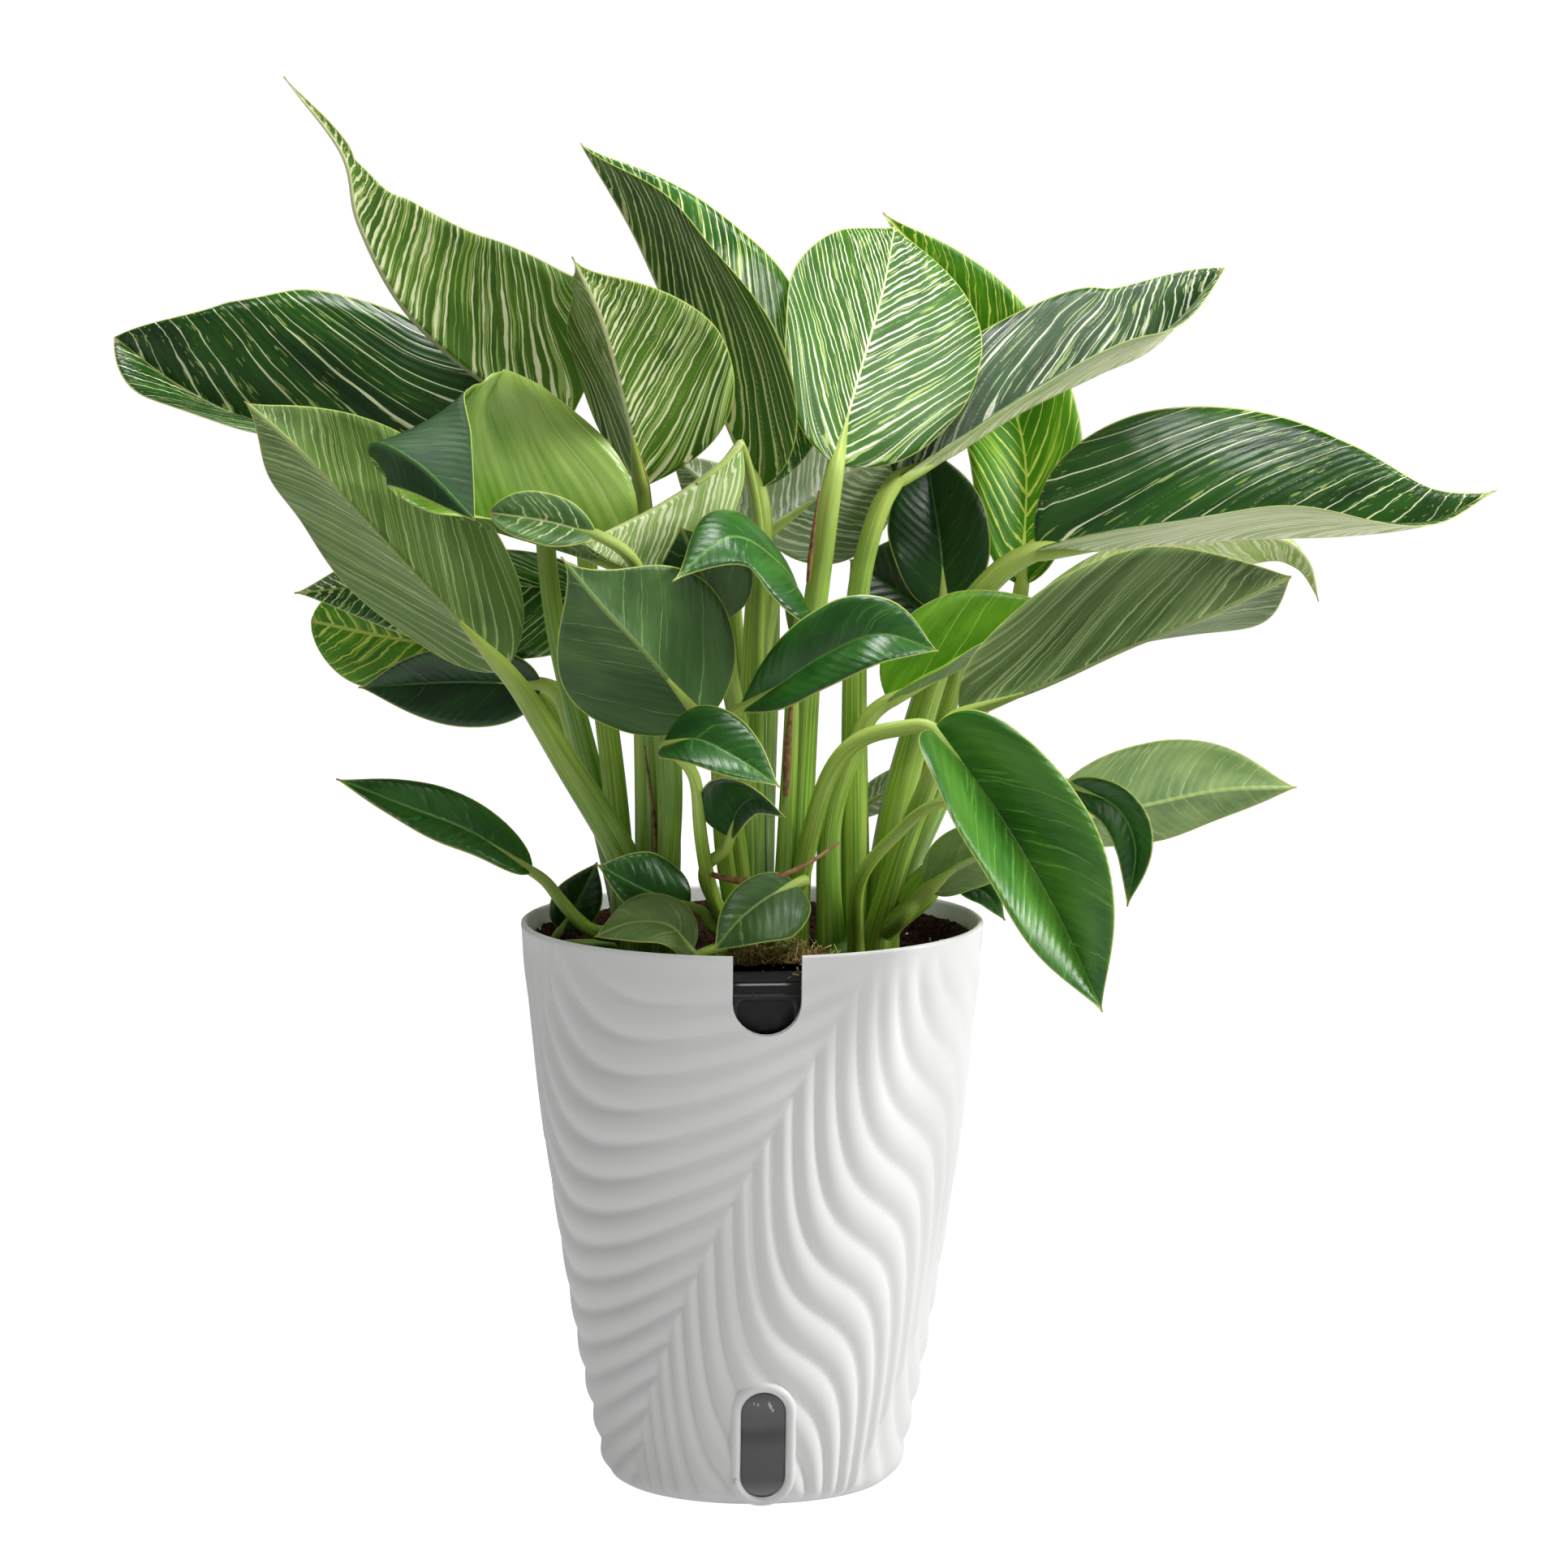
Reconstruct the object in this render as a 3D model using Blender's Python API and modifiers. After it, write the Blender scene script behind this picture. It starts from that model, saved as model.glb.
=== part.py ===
"""A striped-leaf philodendron in a self-watering pot, in metres, +Z up.

The origin is the middle of the pot's flat base. The watering notch faces -Y.
The outer pot has a wave relief, a notch in its rim for filling and a clear
window low on its front. An inner pot stands in it on a wicking foot and holds
the soil. Three crowns of leaf stalks grow from the soil, and each leaf blade
sits at the end of its own stalk.
"""
import math

import bmesh
import bpy
import numpy as np
from mathutils import Matrix, Vector

MM = 0.001
GAP = 0.3 * MM
MERGE_DISTANCE = 0.01 * MM
ROUND_END_STEPS = 8

# Outer pot
POT_HEIGHT = 202 * MM
POT_PROFILE = ((0, 47.5), (2.5, 51), (6, 53.2), (17, 55.8), (41, 60.8), (65, 64.8),
               (100, 70.2), (135, 75.0), (171, 78.8), (202, 82.5))
RIM_WALL = 2.4 * MM
SIDE_WALL = 3.6 * MM
FLOOR = 3 * MM

# Wave relief, in two repeats round the pot: steep ridges along a diagonal, then low swags.
# Heights and amounts are in millimetres, angles in degrees.
WAVE_PITCH = 16.5
REPEAT = 180.0
RIDGE_SPAN = 78.0
DIAGONAL_TOP = 30.0
DIAGONAL_BASE = -49.0
RIDGE_EASE = 1.8
RIDGE_HEIGHT = 2.1
SWAG_HEIGHT = 1.5
SWAG_START = 25.0
SWAG_END = 22.0
SWAG_LOWEST = 0.45
ROW_LIFT = 12.0
RELIEF_TOP_FADE = 20.0
RELIEF_BASE_FADE = 6.0
RIDGE_COLUMNS = 28
SWAG_COLUMNS = 12

# Watering notch and water window, both on the front
NOTCH_WIDTH = 24 * MM
NOTCH_BOTTOM = 173.5 * MM
WINDOW_WIDTH = 16.4 * MM
WINDOW_BOTTOM = 3.6 * MM
WINDOW_TOP = 44 * MM
WINDOW_RIM = 3.0 * MM
WINDOW_RIM_PROUD = 1.2 * MM
PANE_THICKNESS = 2 * MM
PANE_PROUD = 0.4 * MM

# Inner pot: its outside as height and radius, and the flat panel behind the notch
LINER_TOP = 195 * MM
LINER_PROFILE = ((3.3, 17), (70, 18), (72, 60), (186, 74.5), (195, 76.5))
LINER_WALL = 1.4 * MM
PANEL_DISTANCE = 71 * MM
PANEL_HALF_WIDTH = 19 * MM
PANEL_FOOT = 100 * MM
SOIL_TOP = 190 * MM
SOIL_CLEARANCE = 0.45 * MM

# Moss beside the notch
MOSS_CENTRE = (7 * MM, -55 * MM)
MOSS_SIZE = (20 * MM, 11.5 * MM, 9 * MM)

# The plant is described as seen in the main view: across and up the view, in
# millimetres from the pot's base, and back from the pot's axis.
VIEW_TILT = math.radians(8)
VIEW_TURN = math.radians(-4)
VIEW_DISTANCE = 2560.0
VIEW_CENTRE = (11.3, 248.2)
BLADE_THICKNESS = 0.8 * MM

# Crowns that the stalks grow from: x, y and radius of each, in plan
CROWNS = {"left": (-34, 0, 15), "middle": (2, -4, 17), "right": (36, 0, 15)}
CROWN_FOOT = 184.0
CROWN_TOP = 200.0
STALK_START = 197.0
CROWN_CLEARANCE = 0.4
CROWN_SOLVER = "EXACT"
STALK_RADII = (5, 3)
BLADE_APPROACH = 7.0
BLADE_GAP = 0.75

# Which way a blade's upper face looks
TOWARD = (0.0, -1.0, 0.0)
AWAY = (0.0, 1.0, 0.0)
UPWARD = (0.0, -0.5, 1.0)
STEEP = (0.0, -0.8, 0.6)
RISING = (0.0, -0.7, 0.7)

GREENS = {
    "dark": (0.03, 0.12, 0.03), "cream": (0.35, 0.45, 0.18), "olive": (0.13, 0.22, 0.08),
    "bright": (0.12, 0.32, 0.04), "lined": (0.10, 0.25, 0.05), "white": (0.35, 0.45, 0.22),
    "lime": (0.20, 0.33, 0.04), "pale": (0.42, 0.52, 0.25), "deep": (0.02, 0.08, 0.03),
    "silver": (0.25, 0.30, 0.22), "plain": (0.04, 0.20, 0.05),
    "grey_stripe": (0.14, 0.20, 0.12), "pale_stripe": (0.30, 0.38, 0.20),
}
STALK_GREEN = (0.25, 0.38, 0.08)

# Every leaf: its midrib (rib) from base to tip and its stalk's way from crown to blade, both as
# across, up and back in the view; width is half the blade's width; right and left are how far
# each half is folded up, in degrees, at the base, middle and tip.
LEAVES = [
    dict(name="leaf_far_left", look="dark", crown="left", width=53, right=(-20, -15, 0),
         left=(92, 97, 70), left_share=0.8, peak=0.5, point=0.9,
         rib=((-84, 371, 12), (-134, 369, 26), (-178, 378, 42), (-206, 391, 54), (-230, 409, 64)),
         stalk=((-55, 240, 10), (-72, 310, 10))),
    dict(name="leaf_top_left", look="cream", crown="left", width=48, facing=AWAY, right=(112, 118, 95),
         left=(10, 12, 20), peak=0.14, point=1.08, tail=(0.8, 4),
         rib=((-66, 379, 4), (-96, 393, -4), (-125, 419, -14), (-142, 450, -26), (-148, 475, -34),
              (-169, 503, -46)), stalk=((-50, 250, 2), (-60, 330, 4))),
    dict(name="leaf_left_hanging", look="olive", crown="left", width=44, facing=AWAY, right=(52, 56, 45),
         left=(42, 48, 40), peak=0.38, stalk_radii=(7, 3.6),
         rib=((-89, 289, -28), (-115, 317, -42), (-140, 344, -58), (-165, 370, -74), (-183, 386, -84)),
         stalk=((-46, 221, -14), (-66, 254, -20))),
    dict(name="leaf_folded_tip", look="bright", crown="left", width=55, start=0.2, right=(5, 8, 10),
         left=(110, 90, 30), left_share=0.4, peak=0.42, point=1,
         rib=((-45, 326, -34), (-69, 333, -38), (-96, 341, -42), (-122, 352, -50), (-137, 365, -62),
              (-135, 371, -80), (-119, 362, -92), (-100, 343, -96)),
         stalk=((-30, 240, -16), (-37, 315, -28))),
    dict(name="leaf_small_striped", look="grey_stripe", crown="left", width=11, right=20,
         left=(40, 50, 50), peak=0.6, point=0.6, base=1, stalk_radii=(4, 2.2),
         rib=((-56, 338, -84), (-75, 343, -91), (-95, 346, -97)),
         stalk=((-28, 250, -36), (-34, 300, -58), (-42, 331, -76))),
    dict(name="leaf_rolled", look="pale_stripe", crown="middle", width=23, facing=AWAY, right=(8, 10, 10),
         left=(105, 125, 110), peak=0.5, point=1, base=1, stalk_radii=(3, 1.6),
         rib=((-4, 371, -24), (-14, 361, -32), (-34, 348, -46), (-61, 335, -73)),
         stalk=((2, 300, -8), (3, 338, -14), (5, 354, -22), (7, 369, -32))),
    dict(name="leaf_upper_left", look="cream", crown="left", width=43, facing=AWAY, right=(65, 70, 60),
         left=(22, 25, 20), peak=0.26, point=1.7, stalk_radii=(7.5, 3.6),
         rib=((-40, 355, -24), (-45, 381, -46), (-54, 414, -80), (-65, 438, -108)),
         stalk=((-36, 235, -6), (-39, 315, -18))),
    dict(name="leaf_top_centre", look="lined", crown="middle", width=43, right=(-10, -15, -5),
         left=(145, 130, 120), peak=0.4, stalk_radii=(6.5, 3.6),
         rib=((2, 354, -4), (-14, 390, 6), (-31, 422, 19), (-44, 449, 31), (-62, 479, 45)),
         stalk=((0, 270, -3), (2, 320, -5))),
    dict(name="leaf_round_centre", look="white", crown="middle", width=42, right=(15, 16, 20),
         left=(35, 38, 40), peak=0.42, point=1.2, stalk_radii=(6, 3.6),
         rib=((30, 363, -4), (35, 384, 12), (41, 405, 34), (47, 427, 60), (51, 449, 88)),
         stalk=((20, 290, -5), (25, 330, -6))),
    dict(name="leaf_upper_right", look="white", crown="right", width=34, right=(100, 104, 95),
         left=(-20, -22, -10), peak=0.5, point=0.9, stalk_radii=(6, 3.6),
         rib=((52, 358, 7), (71, 367, 19), (97, 383, 31), (124, 396, 42), (146, 407, 52), (170, 434, 66)),
         stalk=((37, 310, 2), (44, 342, 2))),
    dict(name="leaf_back_right", look="lime", crown="right", width=24, right=(20, 25, 20),
         left=(30, 30, 20), peak=0.4,
         rib=((97, 320, 50), (98, 367, 70), (86, 403, 88), (67, 432, 104), (47, 454, 118)),
         stalk=((66, 240, 24), (88, 290, 40))),
    dict(name="leaf_far_right", look="dark", crown="right", width=49, right=(100, 107, 90),
         left=(-15, -15, -5), peak=0.34, point=1.4, stalk_radii=(6.5, 4),
         rib=((102, 332, 10), (138, 334, 14), (176, 337, 20), (214, 338, 27), (244, 342, 34),
              (268, 354, 40)), stalk=((52, 240, 4), (70, 300, 6), (88, 324, 8))),
    dict(name="leaf_right_drooping_tip", look="pale", crown="right", width=18, facing=AWAY, right=70,
         left=(35, 40, 30), peak=0.45,
         rib=((100, 310, 28), (130, 325, 36), (162, 335, 46), (188, 337, 54), (200, 329, 58),
              (204, 314, 60)), stalk=((62, 235, 14), (84, 285, 22))),
    dict(name="leaf_right_middle", look="olive", crown="right", width=34, facing=AWAY, right=(25, 26, 20),
         left=(88, 76, 30), peak=0.48, point=1.1,
         rib=((75, 273, -36), (106, 284, -50), (135, 297, -68), (165, 309, -86), (194, 323, -104)),
         stalk=((54, 225, -16), (66, 255, -28))),
    dict(name="leaf_bright_right", look="bright", crown="right", width=26, right=(100, 105, 95),
         left=(-10, -8, 0), peak=0.42, rib=((49, 278, -6), (68, 287, -4), (89, 297, -2), (116, 312, 4)),
         stalk=((28, 235, -4), (38, 264, -6))),
    dict(name="leaf_dark_back", look="deep", crown="right", width=20, right=25, left=25, peak=0.45,
         rib=((69, 311, 30), (68, 332, 36), (65, 352, 42), (62, 371, 50)),
         stalk=((50, 240, 16), (64, 290, 24))),
    dict(name="leaf_dark_low_back", look="deep", crown="right", width=23, right=20, left=20, peak=0.45,
         rib=((68, 304, 46), (54, 316, 56), (35, 329, 68)), stalk=((56, 235, 24), (74, 288, 38))),
    dict(name="leaf_grey_back", look="silver", crown="middle", width=27, facing=AWAY, right=(30, 30, 30),
         left=(10, 15, 15), peak=0.42, base=0.8,
         rib=((4, 338, 22), (24, 352, 32), (45, 367, 44), (59, 379, 54)),
         stalk=((-2, 250, 10), (-8, 322, 14))),
    dict(name="leaf_arching", look="plain", crown="middle", width=24, facing=UPWARD, start=0.6,
         right=(20, 10, 10), left=(-10, -25, -15), peak=0.34, point=1.6, stalk_radii=(4, 2.2),
         rib=((15, 298, -24), (17, 315, -34), (9, 328, -48), (-8, 337, -64), (-29, 321, -80)),
         stalk=((14, 270, -20),)),
    dict(name="leaf_pointing_right", look="plain", crown="middle", width=16, facing=STEEP, right=18,
         left=18, peak=0.6, base=1.2, stalk_radii=(4, 2.4),
         rib=((-6, 274, -55), (10, 284, -68), (27, 295, -78), (46, 302, -84), (67, 296, -80)),
         stalk=((-5, 225, -26), (-10, 262, -46))),
    dict(name="leaf_round_left", look="olive", crown="middle", width=34, facing=AWAY, right=22, left=25,
         peak=0.36, point=1.9, stalk_radii=(4.5, 2.8),
         rib=((-17, 270, -56), (-40, 297, -78), (-55, 313, -92), (-69, 330, -104)),
         stalk=((-10, 225, -28), (-12, 258, -46))),
    dict(name="leaf_behind_round", look="olive", crown="middle", width=17, facing=AWAY, right=5, left=5,
         peak=0.42, stalk_radii=(4.5, 3.2), rib=((-11, 307, -42), (-18, 323, -52), (-26, 341, -61)),
         stalk=((-2, 250, -20), (-9, 290, -30))),
    dict(name="leaf_low_centre", look="plain", crown="middle", width=14, facing=RISING, right=15, left=15,
         peak=0.34, stalk_radii=(3, 2),
         rib=((-32, 262, -74), (-20, 264, -82), (-5, 257, -90), (10, 247, -95)),
         stalk=((-15, 215, -30), (-28, 238, -58))),
    dict(name="leaf_fan", look="deep", crown="middle", width=15, right=55, left=10, right_share=0.5,
         peak=0.45, base=0.8, stalk_radii=(3, 2),
         rib=((-8, 229, -54), (-5, 239, -63), (2, 243, -72), (12, 236, -80)), stalk=((-18, 216, -37),)),
    dict(name="leaf_drooping_right", look="plain", crown="middle", width=30, right=(64, 62, 45),
         left=(28, 24, 20), peak=0.48, stalk_radii=(4, 2.6),
         rib=((65, 268, -40), (80, 250, -52), (97, 224, -62), (112, 197, -70), (126, 166, -76)),
         stalk=((23, 238, -24), (30, 257, -30), (42, 267, -34), (59, 268, -38))),
    dict(name="leaf_low_right", look="olive", crown="right", width=22, facing=AWAY, right=(15, 15, 10),
         left=(40, 42, 30), peak=0.45, stalk_radii=(4, 2.4),
         rib=((109, 235, 10), (138, 240, 24), (168, 246, 40), (196, 247, 54)),
         stalk=((60, 214, 2), (86, 232, 4))),
    dict(name="leaf_curled_right", look="plain", crown="right", width=9, right=30, left=30, peak=0.45,
         stalk_radii=(3, 2), rib=((114, 248, 2), (131, 240, -2), (138, 225, -6), (135, 204, -10)),
         stalk=((72, 225, -4), (98, 246, 0))),
    dict(name="leaf_rim_right", look="olive", crown="right", width=13, facing=AWAY, right=20, left=30,
         peak=0.42, stalk_radii=(5, 3),
         rib=((63, 210, -14), (75, 219, -18), (89, 224, -22), (103, 225, -26)), stalk=((54, 201, -14),)),
    dict(name="leaf_rim_right_tip", look="plain", crown="right", width=5, right=25, left=25,
         stalk_radii=(3, 2), rib=((74, 212, 4), (84, 209, 2), (91, 199, 0)), stalk=((64, 207, 2),)),
    dict(name="leaf_small_right", look="plain", crown="right", width=6, facing=UPWARD, right=20, left=20,
         stalk_radii=(3, 2), rib=((70, 242, -34), (77, 243, -36), (82, 234, -38)),
         stalk=((39, 215, -26), (55, 233, -30))),
    dict(name="leaf_low_left", look="plain", crown="left", width=12, facing=RISING, right=15, left=15,
         peak=0.45, stalk_radii=(3, 2),
         rib=((-80, 217, -14), (-102, 231, -20), (-125, 240, -28), (-150, 250, -38)),
         stalk=((-58, 195, -12), (-69, 206, -12))),
    dict(name="leaf_striped_left", look="lined", crown="left", width=28, right=(55, 55, 30),
         left=(25, 25, 20), peak=0.4, base=0.7,
         rib=((-37, 307, 34), (-66, 318, 42), (-96, 320, 48), (-125, 321, 54), (-165, 317, 62)),
         stalk=((-32, 240, 16), (-29, 293, 28))),
    dict(name="leaf_dark_left", look="deep", crown="left", width=17, right=30, left=(25, 20, 20),
         peak=0.35, rib=((-76, 284, 34), (-107, 285, 44), (-142, 283, 56)),
         stalk=((-50, 230, 18), (-64, 265, 26))),
    dict(name="leaf_curled_left", look="lime", crown="left", width=20, right=(0, 0, 0), left=(0, 0, 0),
         peak=0.6, point=0.6, base=0.8, rib=((-96, 297, 56), (-125, 300, 66), (-159, 307, 78)),
         stalk=((-52, 235, 26), (-76, 280, 42))),
    dict(name="leaf_soil_left", look="deep", crown="left", width=9, right=10, left=10,
         stalk_radii=(2, 1.6), rib=((-69, 196, -2), (-62, 208, -4), (-56, 220, -8)),
         stalk=((-66, 190.5, -1),)),
    dict(name="leaf_rim_left", look="plain", crown="middle", width=14, facing=STEEP, right=15, left=15,
         peak=0.45, stalk_radii=(3, 2), rib=((-23, 204, -30), (-39, 210, -36), (-56, 219, -43)),
         stalk=((-16, 198, -28),)),
    dict(name="leaf_rim_left_low", look="plain", crown="middle", width=11, facing=RISING, right=15,
         left=15, peak=0.45, stalk_radii=(2, 1.6),
         rib=((-22, 188, -56), (-30, 197, -60), (-43, 198, -58), (-57, 193, -52)),
         stalk=((-21, 186, -53),)),
    dict(name="leaf_rim_front", look="deep", crown="middle", width=19, facing=STEEP, right=20, left=10,
         right_share=0.5, peak=0.42, stalk_radii=(3, 2),
         rib=((15, 212, -50), (5, 207, -58), (-5, 199, -66), (-14, 188, -72)),
         stalk=((14, 207, -41),)),
    dict(name="leaf_narrow_back_right", look="silver", crown="right", width=7, facing=AWAY, right=20,
         left=20, stalk_radii=(3, 2), rib=((36, 238, 30), (56, 249, 40), (80, 256, 52)),
         stalk=((30, 225, 26),)),
    dict(name="leaf_top_back", look="lined", crown="middle", width=12, right=20, left=20, base=0.8,
         rib=((-8, 393, 74), (-27, 411, 90), (-43, 422, 102)),
         stalk=((4, 250, 34), (6, 300, 50), (5, 360, 62))),
    dict(name="leaf_grey_centre", look="silver", crown="middle", width=14, facing=AWAY, right=20, left=20,
         base=0.8, rib=((4, 330, 36), (-12, 351, 42), (-30, 368, 52)),
         stalk=((-4, 250, 22), (4, 300, 30))),
]


def from_view(point):
    """Turn a point across, up and back in the main view into x, y and z in millimetres."""
    across, up, back = point
    x, z = across, up
    for _ in range(3):
        depth = back * math.cos(VIEW_TILT) - z * math.sin(VIEW_TILT)
        spread = 1 + depth / VIEW_DISTANCE
        x = VIEW_CENTRE[0] + (across - VIEW_CENTRE[0]) * spread
        level = VIEW_CENTRE[1] + (up - VIEW_CENTRE[1]) * spread
        z = (level - back * math.sin(VIEW_TILT)) / math.cos(VIEW_TILT)
    return np.array((x, back, z))


def to_part(point):
    """Turn a plant point in millimetres, as the view faces it, into the part's metres."""
    return Matrix.Rotation(VIEW_TURN, 3, "Z") @ Vector(point) * MM


def unit(vector):
    return vector / np.linalg.norm(vector)


def smooth_path(points):
    """Points close together on a smooth curve through the given points."""
    ends = [2 * points[0] - points[1], *points, 2 * points[-1] - points[-2]]
    steps = 24
    path = []
    for a, b, c, d in zip(ends, ends[1:], ends[2:], ends[3:]):
        for t in np.arange(steps) / steps:
            path.append(0.5 * (2 * b + (c - a) * t + (2 * a - 5 * b + 4 * c - d) * t * t
                               + (3 * b - a - 3 * c + d) * t ** 3))
    path.append(points[-1])
    return np.array(path)


def along_path(path, shares):
    """Points at the given shares of a path's length."""
    steps = np.linalg.norm(np.diff(path, axis=0), axis=1)
    length = np.concatenate(([0], np.cumsum(steps)))
    wanted = np.asarray(shares) * length[-1]
    return np.stack([np.interp(wanted, length, path[:, axis]) for axis in range(3)], -1)


def along_leaf(values, t):
    """The value at t between a leaf's base, middle and tip values."""
    if not isinstance(values, tuple):
        return values
    base, middle, tip = values
    return base * (1 - t) * (1 - 2 * t) + 4 * middle * t * (1 - t) + tip * t * (2 * t - 1)


def half_width(leaf, t):
    """Half the blade's width at t: rounded at the base, drawn out to the tip."""
    peak = leaf.get("peak", 0.38)
    tail, tail_width = leaf.get("tail", (1, 0))
    if t < peak:
        share = (1 - ((peak - t) / peak) ** 2.4) ** leaf.get("base", 0.55)
    else:
        done = (t - peak) / (tail - peak)
        share = (1 - min(done, 1) ** 2.1) ** leaf.get("point", 1.3)
        if tail < 1:
            share = max(share, tail_width / leaf["width"] * min(done, (1 - t) / (1 - tail)))
    return max(leaf["width"] * share, 2.2 * (1 - t) + 1.2)


def leaf_spine(leaf, along):
    """Stations on the midrib, with its direction and the upper face's direction at each."""
    path = smooth_path([from_view(point) for point in leaf["rib"]])
    even = np.arange(along + 1) / along
    shares = 0.5 * even + 0.25 * (1 - np.cos(math.pi * even))
    ahead = along_path(path, np.minimum(shares + 0.01, 1))
    behind = along_path(path, np.maximum(shares - 0.01, 0))
    direction = [unit(step) for step in ahead - behind]
    start = round(leaf.get("start", 0.4) * along)
    upper = [np.array(leaf.get("facing", TOWARD))] * (along + 1)
    for k in [*range(start, along + 1), *range(start - 1, -1, -1)]:
        nearest = upper[k] if k == start else upper[k - 1 if k > start else k + 1]
        upper[k] = unit(nearest - nearest.dot(direction[k]) * direction[k])
    return shares, along_path(path, shares), direction, upper


def leaf_points(leaf, along, across):
    """The blade as rows of points, from its left edge over the midrib to its right edge."""
    shares, spine, direction, upper = leaf_spine(leaf, along)
    rows = np.zeros((along + 1, 2 * across + 1, 3))
    for k, t in enumerate(shares):
        sideways = np.cross(direction[k], upper[k])
        ripple = 0.03 * leaf["width"] * math.sin(math.pi * t)
        rows[k, across] = spine[k]
        for side, half in ((1, "right"), (-1, "left")):
            width = half_width(leaf, t) * leaf.get(half + "_share", 1)
            fold = math.radians(along_leaf(leaf.get(half, 15), t))
            out = side * math.cos(fold) * sideways + math.sin(fold) * upper[k]
            face = math.cos(fold) * upper[k] - side * math.sin(fold) * sideways
            for j in range(1, across + 1):
                edge = (j / across) ** 2
                lobe = 0.12 * width * edge * math.exp(-(t / 0.14) ** 2)
                lift = ripple * edge * math.sin(4 * math.pi * t + side * 1.1)
                point = spine[k] + width * j / across * out
                rows[k, across + side * j] = point - lobe * direction[k] + lift * face
    return rows


def stalk_path(leaf, points=7):
    """The leaf stalk's middle line, from inside its crown to the foot of the blade."""
    x, y, radius = CROWNS[leaf["crown"]]
    foot_radius = leaf.get("stalk_radii", STALK_RADII)[0]
    through = [from_view(point) for point in leaf["stalk"]]
    lean = through[0][:2] - np.array((x, y))
    reach = min(np.linalg.norm(lean), max(radius - 0.8 * foot_radius, 3))
    low = min(STALK_START, max(through[0][2] - 1, SOIL_TOP / MM + 0.3 + foot_radius))
    foot = np.array((*(np.array((x, y)) + unit(lean) * reach), low))
    rib = smooth_path([from_view(point) for point in leaf["rib"]])
    outward = unit(rib[3] - rib[0])
    path = smooth_path([foot] + through + [rib[0] - BLADE_APPROACH * outward])
    return [*along_path(path, np.arange(points) / (points - 1)), rib[0] - BLADE_GAP * outward]


def collection(name):
    made = bpy.data.collections.new(name)
    bpy.context.scene.collection.children.link(made)
    return made


def material(name, colour, roughness, alpha=1.0):
    """A plain material for one sub-part."""
    made = bpy.data.materials.new(name)
    made.use_nodes = True
    shader = made.node_tree.nodes["Principled BSDF"]
    shader.inputs["Base Color"].default_value = (*colour, 1)
    shader.inputs["Roughness"].default_value = roughness
    shader.inputs["Metallic"].default_value = 0
    shader.inputs["Alpha"].default_value = alpha
    return made


def add_object(name, data, group):
    made = bpy.data.objects.new(name, data)
    group.objects.link(made)
    return made


def mesh_from(cage, name):
    mesh = bpy.data.meshes.new(name)
    cage.to_mesh(mesh)
    cage.free()
    return mesh


def evaluated_mesh(shape):
    """A new mesh of an object with its modifiers applied."""
    bpy.context.view_layer.update()
    return bpy.data.meshes.new_from_object(shape.evaluated_get(bpy.context.evaluated_depsgraph_get()))


def baked(shape):
    """Replace a curve or a modified object by one plain, welded mesh at the origin."""
    mesh = evaluated_mesh(shape)
    mesh.transform(shape.matrix_world)
    cage = bmesh.new()
    cage.from_mesh(mesh)
    bmesh.ops.remove_doubles(cage, verts=cage.verts, dist=MERGE_DISTANCE)
    bmesh.ops.recalc_face_normals(cage, faces=cage.faces)
    cage.to_mesh(mesh)
    cage.free()
    name, group = shape.name, shape.users_collection[0]
    bpy.data.objects.remove(shape)
    return add_object(name, mesh, group)


def turned(name, profile, steps, group):
    """A solid turned about the Z axis, from (height, radius) pairs listed top to bottom."""
    outline = [(0, 0, profile[0][0])]
    outline += [(radius, 0, height) for height, radius in profile]
    outline += [(0, 0, profile[-1][0])]
    mesh = bpy.data.meshes.new(name)
    mesh.from_pydata(outline, [(k, k + 1) for k in range(len(outline) - 1)], [])
    shape = add_object(name, mesh, group)
    screw = shape.modifiers.new("turn", "SCREW")
    screw.steps = steps
    screw.render_steps = steps
    screw.use_merge_vertices = True
    screw.merge_threshold = MERGE_DISTANCE
    return baked(shape)


def combine(piece, other, operation):
    """Cut a solid by another, join them or keep what they share, and remove the other."""
    change = piece.modifiers.new(operation.lower(), "BOOLEAN")
    change.operation = operation
    change.solver = "EXACT"
    change.object = other
    mesh = evaluated_mesh(piece)
    piece.modifiers.clear()
    piece.data = mesh
    bpy.data.objects.remove(other)


def block(name, low, high, group):
    """A box from its lowest to its highest corner."""
    low, high = Vector(low), Vector(high)
    cage = bmesh.new()
    bmesh.ops.create_cube(cage, size=1)
    cage.transform(Matrix.Translation((low + high) / 2) @ Matrix.Diagonal((*(high - low), 1)))
    return add_object(name, mesh_from(cage, name), group)


def drum(name, place, radius, bottom, top, sides, group):
    """An upright cylinder at x and y from one height to another."""
    cage = bmesh.new()
    bmesh.ops.create_cone(cage, segments=sides, radius1=radius, radius2=radius,
                          depth=top - bottom, cap_ends=True)
    cage.transform(Matrix.Translation((*place, (bottom + top) / 2)))
    return add_object(name, mesh_from(cage, name), group)


def half_round(width, height, start):
    """Points of half a circle at a height, anticlockwise from an angle in degrees."""
    angles = [math.radians(start + 180 * k / ROUND_END_STEPS) for k in range(ROUND_END_STEPS + 1)]
    return [(width / 2 * math.cos(a), height + width / 2 * math.sin(a)) for a in angles]


def oval(width, bottom, top):
    """An upright slot with round ends, as x and z pairs."""
    return half_round(width, bottom + width / 2, 180) + half_round(width, top - width / 2, 0)


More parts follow.
